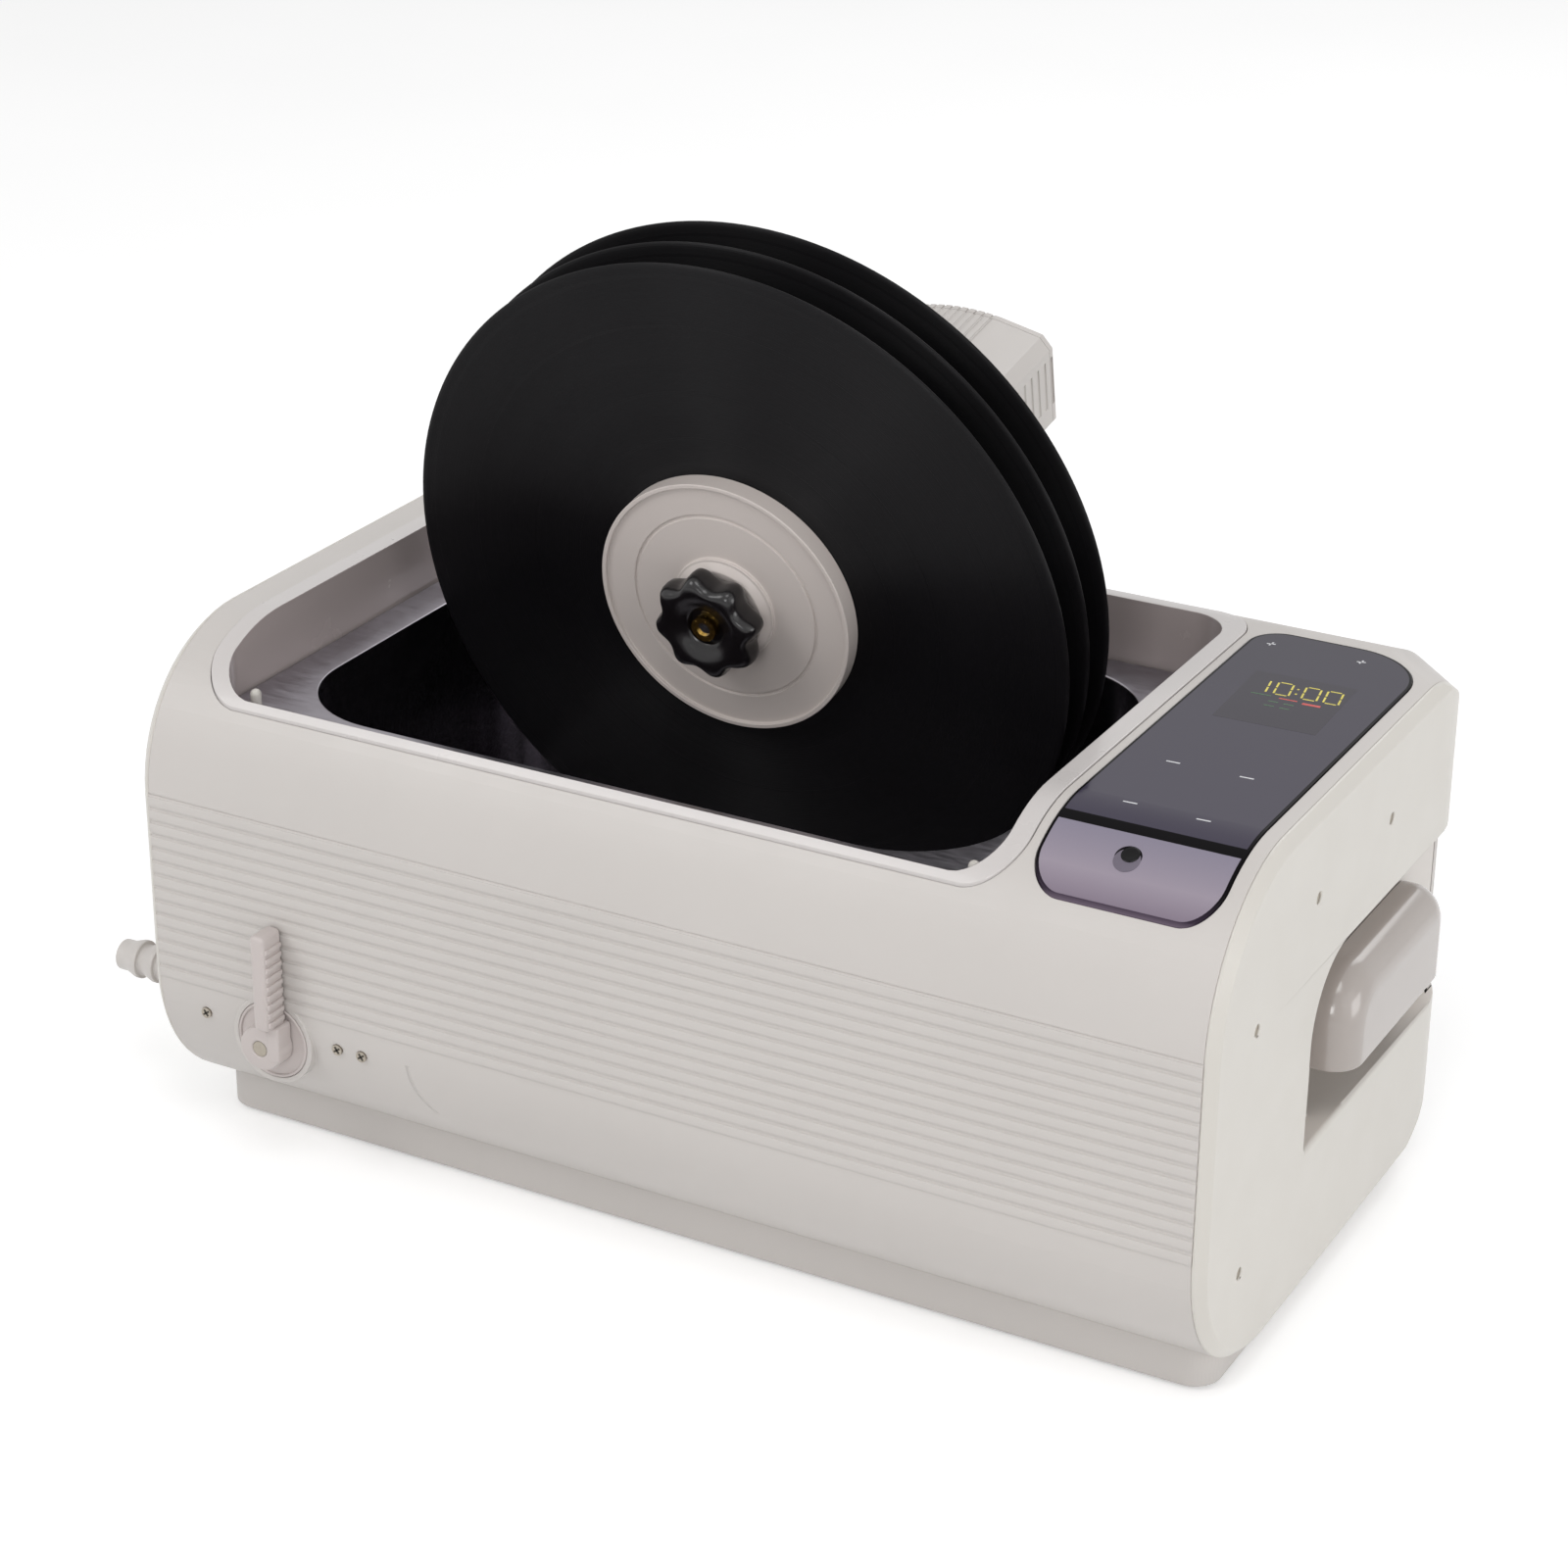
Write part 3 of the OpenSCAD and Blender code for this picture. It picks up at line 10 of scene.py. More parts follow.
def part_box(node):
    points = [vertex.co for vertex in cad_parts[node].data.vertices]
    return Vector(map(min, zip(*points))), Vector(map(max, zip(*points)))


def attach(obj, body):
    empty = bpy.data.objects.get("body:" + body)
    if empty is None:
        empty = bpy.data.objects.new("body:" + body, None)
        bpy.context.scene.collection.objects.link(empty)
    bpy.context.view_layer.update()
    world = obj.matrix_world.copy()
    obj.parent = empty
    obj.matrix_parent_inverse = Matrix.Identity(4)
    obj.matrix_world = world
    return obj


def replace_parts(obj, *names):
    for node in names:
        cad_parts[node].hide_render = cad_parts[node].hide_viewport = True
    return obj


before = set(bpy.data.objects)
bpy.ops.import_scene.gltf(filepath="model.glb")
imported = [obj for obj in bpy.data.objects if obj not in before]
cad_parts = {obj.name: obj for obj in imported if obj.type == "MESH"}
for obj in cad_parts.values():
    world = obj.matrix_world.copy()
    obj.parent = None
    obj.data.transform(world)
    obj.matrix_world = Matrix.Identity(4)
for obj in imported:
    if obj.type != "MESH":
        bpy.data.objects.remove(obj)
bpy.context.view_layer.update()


def tone(red, green, blue):
    """Linear colour for a screen colour given in 0 to 255."""
    shares = [v / 255 for v in (red, green, blue)]
    return (*[v / 12.92 if v <= 0.04045 else ((v + 0.055) / 1.055) ** 2.4 for v in shares], 1.0)


def darker(colour, share):
    return (*[v * share for v in colour[:3]], 1.0)


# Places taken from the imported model

SPINDLE_SLOPE = math.radians(11.3)
SPINDLE_WAY = Vector((0, math.cos(SPINDLE_SLOPE), math.sin(SPINDLE_SLOPE)))
RECORD_CENTRE = Vector((-0.036, 0, 0.2412))
RECORD_PITCH = 0.019
FRONT = -0.139
VALVE = Vector((-0.178, FRONT, 0.063))
SCREWS_ACROSS, SCREWS_UP = (-0.0345, 0.032, 0.044), 0.0033
PANEL_TOP = 0.2275
BEND_Y, BEND_Z, BEND_RADIUS = -0.073, 0.161, 0.0665
GLASS_END, WINDOW_START = -0.0885, -0.0938
RIB_START, RIB_PITCH, RIB_COUNT = 0.081, 0.00605, 14
ARC_X, ARC_Z, ARC_RADIUS = -0.0765, 0.067, 0.035
OPENING_X, OPENING_Y = -0.036, -0.0056
OPENING_HALF_WIDTH, OPENING_HALF_DEPTH, OPENING_CORNER = 0.1763, 0.116, 0.018
FLANGE_TOP = 0.1992
CAP_OUTER_X, RECESS_SILL = 0.24, 0.0775
FLOOR_LIFT = 0.33


# Finishes


class Finish:
    """A node material, with short words for the nodes that the finishes share."""

    def __init__(self, name):
        self.material = bpy.data.materials.new(name)
        self.material.use_nodes = True
        self.tree = self.material.node_tree
        self.shader = self.tree.nodes["Principled BSDF"]
        self.place = self.tree.nodes.new("ShaderNodeTexCoord").outputs["Object"]

    def set(self, **values):
        for name, value in values.items():
            self.shader.inputs[name.replace("_", " ")].default_value = value
        return self

    def node(self, kind, **values):
        node = self.tree.nodes.new(kind)
        for name, value in values.items():
            setattr(node, name, value)
        return node

    def link(self, out, into):
        self.tree.links.new(out, into)

    def fill(self, socket, value):
        if hasattr(value, "is_output"):
            self.link(value, socket)
        elif value is not None:
            socket.default_value = value

    def noise(self, scale, detail=2.0, at=None):
        node = self.node("ShaderNodeTexNoise")
        node.inputs["Scale"].default_value = scale
        node.inputs["Detail"].default_value = detail
        self.link(at or self.place, node.inputs["Vector"])
        return node.outputs["Fac"]

    def blend(self, fac, low, high):
        """Colour that goes from low to high as the value goes from 0.3 to 0.7."""
        node = self.node("ShaderNodeValToRGB")
        for element, place, colour in zip(node.color_ramp.elements, (0.3, 0.7), (low, high)):
            element.position = place
            element.color = colour
        self.link(fac, node.inputs["Fac"])
        return node.outputs["Color"]

    def mix(self, fac, one, other):
        node = self.node("ShaderNodeMix", data_type="RGBA")
        self.fill(node.inputs["Factor"], fac)
        self.fill(node.inputs[6], one)
        self.fill(node.inputs[7], other)
        return node.outputs[2]

    def math(self, kind, one, other=None, third=None):
        node = self.node("ShaderNodeMath", operation=kind)
        for socket, value in zip(node.inputs, (one, other, third)):
            self.fill(socket, value)
        return node.outputs[0]

    def vector(self, kind, one, other=None):
        node = self.node("ShaderNodeVectorMath", operation=kind)
        self.fill(node.inputs[0], one)
        self.fill(node.inputs[1], other)
        return node.outputs["Value"] if kind in ("LENGTH", "DOT_PRODUCT") else node.outputs["Vector"]

    def ranged(self, value, low, high, to_low=0.0, to_high=1.0):
        node = self.node("ShaderNodeMapRange")
        for name, number in (("From Min", low), ("From Max", high), ("To Min", to_low), ("To Max", to_high)):
            node.inputs[name].default_value = number
        self.link(value, node.inputs["Value"])
        return node.outputs[0]

    def turned(self, location=(0, 0, 0), rotation=(0, 0, 0), scale=(1, 1, 1)):
        node = self.node("ShaderNodeMapping", vector_type="TEXTURE")
        node.inputs["Location"].default_value = location
        node.inputs["Rotation"].default_value = rotation
        node.inputs["Scale"].default_value = scale
        self.link(self.place, node.inputs["Vector"])
        return node.outputs["Vector"]

    def parts(self, vector=None):
        node = self.node("ShaderNodeSeparateXYZ")
        self.link(vector or self.place, node.inputs[0])
        return node.outputs

    def colour(self, socket):
        self.link(socket, self.shader.inputs["Base Color"])

    def rough(self, value, low, high):
        self.link(self.ranged(value, 0.25, 0.75, low, high), self.shader.inputs["Roughness"])

    def bump(self, height, distance, under=None):
        node = self.node("ShaderNodeBump")
        node.inputs["Strength"].default_value = 1.0
        node.inputs["Distance"].default_value = distance
        self.link(height, node.inputs["Height"])
        if under:
            self.link(under, node.inputs["Normal"])
        self.link(node.outputs[0], self.shader.inputs["Normal"])
        return node.outputs[0]


def moulded(name, base, rough, grain, depth, drift=0.95, coat=0.0):
    """Moulded plastic: fine spark-eroded grain, a slow drift of tone, and gloss that varies a little."""
    f = Finish(name)
    f.colour(f.blend(f.noise(7, 3), darker(base, drift), base))
    f.rough(f.noise(45, 4), rough - 0.05, rough + 0.06)
    f.bump(f.noise(grain, 2), depth)
    f.set(Coat_Weight=coat, Coat_Roughness=0.07)
    return f


def worked_metal(name, base, rough, stretch=(1, 1, 1), depth=0.00001):
    """Worked metal: fine lines drawn out along one direction."""
    f = Finish(name)
    lines = f.noise(700, 4, f.turned(scale=stretch))
    f.colour(f.blend(lines, darker(base, 0.86), base))
    f.rough(lines, rough - 0.06, rough + 0.07)
    f.bump(lines, depth)
    f.set(Metallic=1.0)
    return f


def ribbed_shell():
    """The shell's plastic, with the front ribs rounded into soft waves."""
    base = tone(203, 198, 194)
    f = Finish("shell_ivory")
    f.colour(f.blend(f.noise(7, 3), darker(base, 0.965), base))
    f.rough(f.noise(45, 4), 0.36, 0.46)
    x, y, z = f.parts()[:3]
    step = f.math("FRACT", f.math("DIVIDE", f.math("SUBTRACT", z, RIB_START - RIB_PITCH / 2), RIB_PITCH))
    wave = f.math("SINE", f.math("MULTIPLY", step, math.pi))
    low = f.math("GREATER_THAN", z, RIB_START - RIB_PITCH / 2)
    high = f.math("LESS_THAN", z, RIB_START + RIB_PITCH * (RIB_COUNT - 0.5))
    ahead = f.math("LESS_THAN", y, FRONT - 0.00025)
    ribs = f.math("MULTIPLY", wave, f.math("MULTIPLY", f.math("MULTIPLY", low, high), ahead))
    waves = f.bump(ribs, 0.00035)
    raised = f.bump(moulded_arc(f, x, y, z), 0.0005, waves)
    f.bump(f.noise(1100, 2), 0.00002, raised)
    return f


def moulded_arc(f, x, y, z):
    """Height of the thin raised arc low on the front, to the right of the valve's screws."""
    across, up = f.math("SUBTRACT", x, ARC_X), f.math("SUBTRACT", z, ARC_Z)
    reach = f.math("SQRT", f.math("ADD", f.math("MULTIPLY", across, across), f.math("MULTIPLY", up, up)))
    line = f.ranged(f.math("ABSOLUTE", f.math("SUBTRACT", reach, ARC_RADIUS)), 0.0, 0.001, 1.0, 0.0)
    beside = f.math("MULTIPLY", f.math("LESS_THAN", x, ARC_X), f.math("LESS_THAN", y, -0.11))
    between = f.math("MULTIPLY", f.math("LESS_THAN", z, 0.068), f.math("GREATER_THAN", z, 0.044))
    return f.math("MULTIPLY", line, f.math("MULTIPLY", beside, between))


def record_vinyl():
    """Pressed vinyl: grooves that follow the radius, quiet bands between the tracks, and a turned gloss."""
    f = Finish("record_vinyl")
    f.colour(f.blend(f.noise(9, 3), tone(13, 12, 14), tone(20, 19, 21)))
    flat = f.turned(location=RECORD_CENTRE, rotation=(SPINDLE_SLOPE, 0, 0))
    x, y, z = f.parts(flat)[:3]
    radius = f.math("SQRT", f.math("ADD", f.math("MULTIPLY", x, x), f.math("MULTIPLY", z, z)))
    lane = f.node("ShaderNodeCombineXYZ")
    f.link(radius, lane.inputs[0])
    grooves = f.noise(2600, 2, lane.outputs[0])
    tracks = f.noise(70, 1, lane.outputs[0])
    quiet = None
    for place, width in ((0.1452, 0.0008), (0.1235, 0.0005), (0.0942, 0.0005), (0.0735, 0.0005), (0.0612, 0.0022)):
        band = f.math("COMPARE", radius, place, width)
        quiet = f.math("MAXIMUM", quiet, band) if quiet else band
    f.bump(f.math("MULTIPLY", grooves, f.math("SUBTRACT", 1.0, quiet)), 0.00013)
    worn = f.math("ADD", f.math("MULTIPLY", grooves, 0.4), f.math("MULTIPLY", tracks, 0.6))
    f.rough(f.math("SUBTRACT", worn, f.math("MULTIPLY", quiet, 0.35)), 0.36, 0.5)
    out = f.vector("SUBTRACT", f.place, tuple(RECORD_CENTRE))
    along = f.vector("NORMALIZE", out)
    world = f.node("ShaderNodeVectorTransform", vector_type="VECTOR", convert_from="OBJECT", convert_to="WORLD")
    f.link(along, world.inputs[0])
    f.link(world.outputs[0], f.shader.inputs["Tangent"])
    f.set(Anisotropic=0.95, Specular_IOR_Level=0.16)
    return f


def panel_face(name, low, high, rough, gloss):
    """Smoked panel glass: a deep tone, a polished face and the faintest orange peel."""
    f = Finish(name)
    y = f.parts()[1]
    f.colour(f.mix(f.ranged(y, -0.12, 0.10), low, high))
    f.rough(f.noise(20, 3), rough, rough + 0.03)
    f.bump(f.noise(90, 2), 0.000015)
    f.set(Specular_IOR_Level=gloss)
    return f


def window_face(name, tones, gloss):
    """Clear front of the panel: its tone changes with height down the curve."""
    f = Finish(name)
    ramp = f.node("ShaderNodeValToRGB")
    for place in (0.12, 0.5):
        ramp.color_ramp.elements.new(place)
    for element, (place, colour) in zip(ramp.color_ramp.elements, zip((0.0, 0.12, 0.5, 1.0), tones)):
        element.position = place
        element.color = colour
    f.link(f.ranged(f.parts()[2], 0.2055, 0.2246), ramp.inputs["Fac"])
    f.colour(ramp.outputs["Color"])
    f.rough(f.noise(20, 3), 0.12, 0.16)
    f.bump(f.noise(90, 2), 0.000015)
    f.set(Specular_IOR_Level=gloss)
    return f


def glowing(name, colour, strength):
    """Lit segment of the display, a little uneven along its length."""
    f = Finish(name)
    f.colour(f.blend(f.noise(300, 2), darker(colour, 0.5), darker(colour, 0.7)))
    f.link(f.blend(f.noise(600, 2), darker(colour, 0.75), colour), f.shader.inputs["Emission Color"])
    f.set(Emission_Strength=strength, Roughness=0.4)
    return f


SHELL = ribbed_shell()
CAP = moulded("cap_white", tone(208, 204, 197), 0.36, 700, 0.000012, 0.975, 0.1)
BASE = moulded("base_stone", tone(203, 198, 194), 0.5, 1300, 0.00002)
GRIP = moulded("grip_warm", tone(168, 160, 155), 0.2, 300, 0.000004, 0.97, 0.5)
# Painted light: the handle recess gets a copy of the cap's plastic a little lighter than the cap, standing in for
# light that fills the recess.
RECESS_LIGHTENED = moulded("recess_painted_light", tone(212, 206, 200), 0.34, 900, 0.00001, 0.96, 0.1)
LIP = moulded("lip_ivory", tone(205, 200, 198), 0.3, 900, 0.00001, 0.97, 0.2)
# Painted shade: the walls inside the well are the shell's plastic in a darker grey, standing in for the shade in
# the well; the lip keeps the ivory.
LINER_SHADED = moulded("liner_painted_shade", tone(178, 167, 165), 0.24, 500, 0.000008, 0.9, 0.4)
DISC = moulded("disc_grey", tone(204, 195, 190), 0.36, 900, 0.00001, 0.97)
LEVER = moulded("lever_grey", tone(199, 190, 187), 0.38, 1100, 0.00001, 0.96)
HOUSING = moulded("housing_ivory", tone(203, 198, 194), 0.42, 1100, 0.00002, 0.96)
KNOB = moulded("knob_black", tone(20, 17, 19), 0.2, 300, 0.000005, 0.8).set(Specular_IOR_Level=0.5)
PIPE = moulded("pipe_white", tone(206, 201, 197), 0.34, 900, 0.00001)
DARK = moulded("dark_plastic", tone(26, 26, 28), 0.5, 1300, 0.00002, 0.85)
RUBBER = moulded("rubber_black", tone(24, 24, 25), 0.7, 1500, 0.00004, 0.8)
SEAL = moulded("seal_grey", tone(168, 168, 170), 0.3, 600, 0.00001)
GREEN = moulded("board_green", tone(24, 88, 50), 0.4, 600, 0.00001, 0.8)
HEATER = moulded("heater_orange", tone(190, 104, 50), 0.6, 1100, 0.00003, 0.85)
COATED = moulded("bracket_grey", tone(146, 148, 151), 0.45, 1200, 0.00003)
STEEL = worked_metal("tank_steel", tone(158, 154, 160), 0.2, (6, 1, 1), 0.000006)
FLANGE = worked_metal("flange_steel", tone(174, 170, 177), 0.38, (6, 1, 1), 0.000006)
PLATE = worked_metal("plate_steel", tone(170, 171, 174), 0.36, (1, 1, 10))
BRIGHT = worked_metal("bright_steel", tone(206, 207, 210), 0.18)
SCREW = worked_metal("screw_zinc", tone(176, 168, 156), 0.4)
BRASS = worked_metal("turned_brass", tone(206, 166, 84), 0.22)
BRONZE = worked_metal("bearing_bronze", tone(172, 124, 76), 0.4)
MOTOR_STEEL = worked_metal("motor_steel", tone(150, 152, 156), 0.4, (1, 8, 1))
VINYL = record_vinyl()
GLASS = panel_face("panel_glass", tone(62, 57, 74), tone(46, 41, 57), 0.07, 0.22)
WINDOW = window_face("panel_window", (tone(96, 82, 98), tone(131, 119, 134), tone(154, 144, 157),
                                      tone(133, 127, 144)), 0.3)
BORDER = window_face("panel_border", (tone(110, 97, 112), tone(52, 42, 56), tone(10, 7, 11),
                                      tone(8, 6, 9)), 0.06)
SENSOR = moulded("sensor_black", tone(7, 6, 8), 0.25, 300, 0.000004, 0.8).set(Specular_IOR_Level=0.2)
RING = moulded("sensor_ring", tone(110, 103, 116), 0.4, 900, 0.00001).set(Specular_IOR_Level=0.3)
SMOKE = panel_face("display_smoke", tone(40, 34, 48), tone(40, 34, 48), 0.09, 0.22)
DIGITS = glowing("digit_amber", tone(206, 192, 66), 0.55)
BAR_GREEN = glowing("bar_green", tone(52, 110, 58), 0.22)
BAR_RED = glowing("bar_red", tone(196, 60, 52), 0.5)
MARK = moulded("mark_white", tone(226, 226, 230), 0.4, 600, 0.000004)
# Painted shade: the dark crosses on the front screws stand in for the shade in their slots.
SLOT_SHADE = moulded("slot_painted_shade", tone(58, 52, 42), 0.5, 900, 0.00001, 0.85)

CARRIED = {
    CAP: ["lid_posts"], RUBBER: ["rubber_feet", "label_seals"],
    HOUSING: ["drive_cover"], PIPE: ["drain_elbow"], SEAL: ["tank_seal"],
    DARK: ["power_inlet", "fan_frame", "fan_impeller", "panel_tray", "display_module"],
    GREEN: ["control_board", "generator_board"], HEATER: ["heater_pad"],
    PLATE: ["left_end_plate", "right_end_plate", "shaft_coupling"], MOTOR_STEEL: ["transducers", "gear_motor"],
    BRIGHT: ["spindle", "motor_shaft", "hinge_pin", "valve_stem", "valve_ball", "bracket_screws"],
    SCREW: ["cap_screws", "front_screws", "cover_screws", "lever_screw"],
    BRASS: ["knob_insert", "valve_body"], BRONZE: ["front_bearing", "rear_bearing"],
}
for finish, names in CARRIED.items():
    for name in names:
        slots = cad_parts[name].data.materials
        slots.clear()
        slots.append(finish.material)


# Making pieces


def piece(bm, name, body, slot, *finishes, sharp=30):
    """Turns a bmesh into a named piece that rides on a body."""
    mesh = bpy.data.meshes.new(name)
    bm.to_mesh(mesh)
    bm.free()
    for finish in finishes:
        mesh.materials.append(finish.material)
    for face in mesh.polygons:
        face.use_smooth = True
    mesh.set_sharp_from_angle(angle=math.radians(sharp))
    obj = bpy.data.objects.new(name, mesh)
    bpy.context.scene.collection.objects.link(obj)
    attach(obj, body)
    return obj


def copied(node):
    """A node's solid as one joined mesh of clean faces."""
    bm = bmesh.new()
    bm.from_mesh(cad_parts[node].data)
    bmesh.ops.remove_doubles(bm, verts=bm.verts, dist=0.000004)
    bmesh.ops.dissolve_limit(bm, angle_limit=math.radians(0.6), verts=bm.verts, edges=bm.edges)
    return bm


def soft_edges(obj, width, segments=2, angle=30):
    bevel = obj.modifiers.new("soft_edges", "BEVEL")
    bevel.width = width
    bevel.segments = segments
    bevel.limit_method = "ANGLE"
    bevel.angle_limit = math.radians(angle)
    bevel.use_clamp_overlap = False
    even = obj.modifiers.new("even_shading", "WEIGHTED_NORMAL")
    even.keep_sharp = True


def softened(node, body, slot, finish, width, segments=2, angle=30):
    """A node's own form with its edges rounded off."""
    obj = piece(copied(node), node + "_soft", body, slot, finish)
    soft_edges(obj, width, segments, angle)
    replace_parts(obj, node)
    return obj


def paint(obj, chosen, number):
    """Gives the faces whose middle passes a test another of the piece's finishes."""
    for face in obj.data.polygons:
        if chosen(face.center, face.normal):
            face.material_index = number


def lathe(profile, steps=96):
    """Spins an open line of (radius, height) points round the upright axis and closes the seam."""
    bm = bmesh.new()
    points = [bm.verts.new((radius, 0, height)) for radius, height in profile]
    lines = [bm.edges.new(pair) for pair in zip(points, points[1:])]
    bmesh.ops.spin(bm, geom=points + lines, cent=(0, 0, 0), axis=(0, 0, 1), dvec=(0, 0, 0),
                   angle=math.tau, steps=steps, use_merge=True)
    bmesh.ops.remove_doubles(bm, verts=bm.verts, dist=0.000001)
    bmesh.ops.recalc_face_normals(bm, faces=bm.faces)
    return bm


def onto_spindle(bm, along=0.0):
    """Lays a piece that was made on the upright axis onto the sloping spindle, its top facing front."""
    turn = Matrix.Rotation(math.pi / 2 + SPINDLE_SLOPE, 4, "X")
    place = Matrix.Translation(RECORD_CENTRE + SPINDLE_WAY * along)
    bmesh.ops.transform(bm, matrix=place @ turn, verts=bm.verts)
    return bm


def onto_front(bm, x, z, y):
    """Lays a piece that was made on the upright axis onto the front face, its top facing front."""
    turn = Matrix.Rotation(math.pi / 2, 4, "X")
    bmesh.ops.transform(bm, matrix=Matrix.Translation((x, y, z)) @ turn, verts=bm.verts)
    return bm


def bar(bm, middle, size, turn=0.0):
    """Adds a small block to a mesh."""
    spin = Matrix.Rotation(turn, 4, "Z")
    scale = Matrix.Diagonal((*size, 1))
    return bmesh.ops.create_cube(bm, size=1, matrix=Matrix.Translation(middle) @ spin @ scale)["verts"]


# Body


def outside_opening(point):
    across = abs(point.x - OPENING_X) - (OPENING_HALF_WIDTH - OPENING_CORNER)
    along = abs(point.y - OPENING_Y) - (OPENING_HALF_DEPTH - OPENING_CORNER)
    reach = math.hypot(across, along) if across > 0 and along > 0 else max(across, along)
    return reach > OPENING_CORNER + 0.0001


# Faces inside the handle recess, which take the lightened copy of the cap's plastic (painted light).
def in_recess(point, normal):
    return 0.205 < abs(point.x) < 0.2395 and point.y > -0.0402 and 0.0772 < point.z < 0.1572


def make_cap(node):
    """End cap: the sill of its handle recess is a full round, and the recess carries painted light: a copy of the
    cap's plastic a little lighter than the cap, standing in for light that fills the recess.
    """
    bm = copied(node)
    lip = [e for e in bm.edges if len(e.link_faces) == 2 and e.calc_face_angle(0) > 1.2
           and all(abs(abs(v.co.x) - CAP_OUTER_X) < 0.0001 and abs(v.co.z - RECESS_SILL) < 0.0003
                   for v in e.verts)]
    bmesh.ops.bevel(bm, geom=lip, offset=0.0022, offset_type="OFFSET", segments=4, profile=0.5,
                    affect="EDGES", material=-1)
    cap = piece(bm, node + "_soft", "machine", "cap", CAP, RECESS_LIGHTENED)
    # Faces inside the handle recess take the lightened copy: painted light.
    paint(cap, in_recess, 1)
    soft_edges(cap, 0.0005, 3)
    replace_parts(cap, node)


def make_body():
    softened("main_shell", "machine", "shell", SHELL, 0.00028)
    for side in ("left", "right"):
        make_cap(side + "_end_cap")
    softened("base_tray", "machine", "base", BASE, 0.0009, 3)
    liner = softened("well_liner", "machine", "liner", LINER_SHADED, 0.0003, 2)
    liner.data.materials.append(LIP.material)
    # The lip and outer faces take the ivory; the rest keeps the darker grey, which is painted shade of the well.
    paint(liner, lambda point, normal: point.z > 0.2266 or outside_opening(point), 1)


def make_tank():
    """Drawn steel tank: the edge between its walls and its floor is a wide round."""
    bm = copied("tank")
    floor = min(v.co.z for v in bm.verts) + 0.0012
    rim = [e for e in bm.edges if all(abs(v.co.z - floor) < 0.0002 for v in e.verts)
           and all((v.co - Vector((-0.14, -0.08, floor))).length > 0.008 for v in e.verts)
           and any(abs(f.normal.z) < 0.5 for f in e.link_faces)]
    bmesh.ops.bevel(bm, geom=rim, offset=0.016, offset_type="OFFSET", segments=6, profile=0.5,
                    affect="EDGES", material=-1)
    lip = [e for e in bm.edges if len(e.link_faces) == 2 and e.calc_face_angle(0) > 1.2
           and all(abs(v.co.z - FLANGE_TOP) < 0.0001 and abs(v.co.x - OPENING_X) < 0.160
                   and abs(v.co.y - OPENING_Y) < 0.1015 for v in e.verts)]
    bmesh.ops.bevel(bm, geom=lip, offset=0.0009, offset_type="OFFSET", segments=4, profile=0.5,
                    affect="EDGES", material=-1)
    tank = piece(bm, "tank_drawn", "machine", "tank_steel", STEEL, FLANGE)
    paint(tank, lambda point, normal: point.z > 0.1985 and normal.z > 0.6, 1)
    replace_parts(tank, "tank")


def make_grip(name, side):
    """Handle grip: a thick rounded shell that is open below and towards the recess."""
    low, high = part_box(name)
    bm = bmesh.new()
    bar(bm, (low + high) / 2, high - low)
    for end_y, radius in ((low.y, 0.024), (high.y, 0.016)):
        corner = [e for e in bm.edges if all(abs(v.co.y - end_y) < 0.0001 and v.co.z > high.z - 0.0001
                                             for v in e.verts)]
        bmesh.ops.bevel(bm, geom=corner, offset=radius, offset_type="OFFSET", segments=10,
                        profile=0.5, affect="EDGES", material=-1)
    face_x = high.x if side > 0 else low.x
    outer = [e for e in bm.edges if all(abs(v.co.x - face_x) < 0.0001 for v in e.verts)
             and any(v.co.z > low.z + 0.0001 for v in e.verts)]
    bmesh.ops.bevel(bm, geom=outer, offset=0.0135, offset_type="OFFSET", segments=12, profile=0.5,
                    affect="EDGES", material=-1)
    open_faces = [f for f in bm.faces if f.normal.x * side < -0.9 or f.normal.z < -0.9]
    bmesh.ops.delete(bm, geom=open_faces, context="FACES_ONLY")
    grip = piece(bm, name + "_round", "machine", "grip", GRIP)
    wall = grip.modifiers.new("wall", "SOLIDIFY")
    wall.thickness = 0.004
    wall.offset = -1
    soft_edges(grip, 0.0012, 3, 50)
    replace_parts(grip, name)


# Control panel


def make_panel():
    bm = copied("panel_glass")
    for place in (-0.0735, GLASS_END, WINDOW_START):
        bmesh.ops.bisect_plane(bm, geom=bm.verts[:] + bm.edges[:] + bm.faces[:], dist=0.000001,
                               plane_co=(0, place, 0), plane_no=(0, 1, 0))
    top = [f for f in bm.faces if outward(f)]
    rim = bmesh.ops.inset_region(bm, faces=top, thickness=0.0012, depth=0, use_even_offset=True,
                                 use_boundary=True)["faces"]
    for face in bm.faces:
        middle = face.calc_center_median()
        face.material_index = 0 if middle.y > GLASS_END else 2
        if face in rim or WINDOW_START < middle.y < GLASS_END or not outward(face):
            face.material_index = 1
    glass = piece(bm, "panel_glass_dark", "machine", "smoked_glass", GLASS, BORDER, WINDOW)
    soft_edges(glass, 0.0004, 3, 50)
    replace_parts(glass, "panel_glass")


def outward(face):
    """Faces of the panel's outer skin: over the flat, or away from the axis of the front curve."""
    middle = face.calc_center_median()
    if middle.y > BEND_Y:
        return face.normal.z > 0.9 and middle.z > 0.227
    away = Vector((0, middle.y - BEND_Y, middle.z - BEND_Z))
    return away.length > 0.066 and face.normal.dot(away.normalized()) > 0.8


SEGMENTS = {  # place of each bar of a digit, as shares of its width and height, and whether it lies flat
    "a": (0.5, 1.0, True), "b": (1.0, 0.75, False), "c": (1.0, 0.25, False), "d": (0.5, 0.0, True),
    "e": (0.0, 0.25, False), "f": (0.0, 0.75, False), "g": (0.5, 0.5, True),
}
NUMERALS = {"1": "bc", "0": "abcdef"}


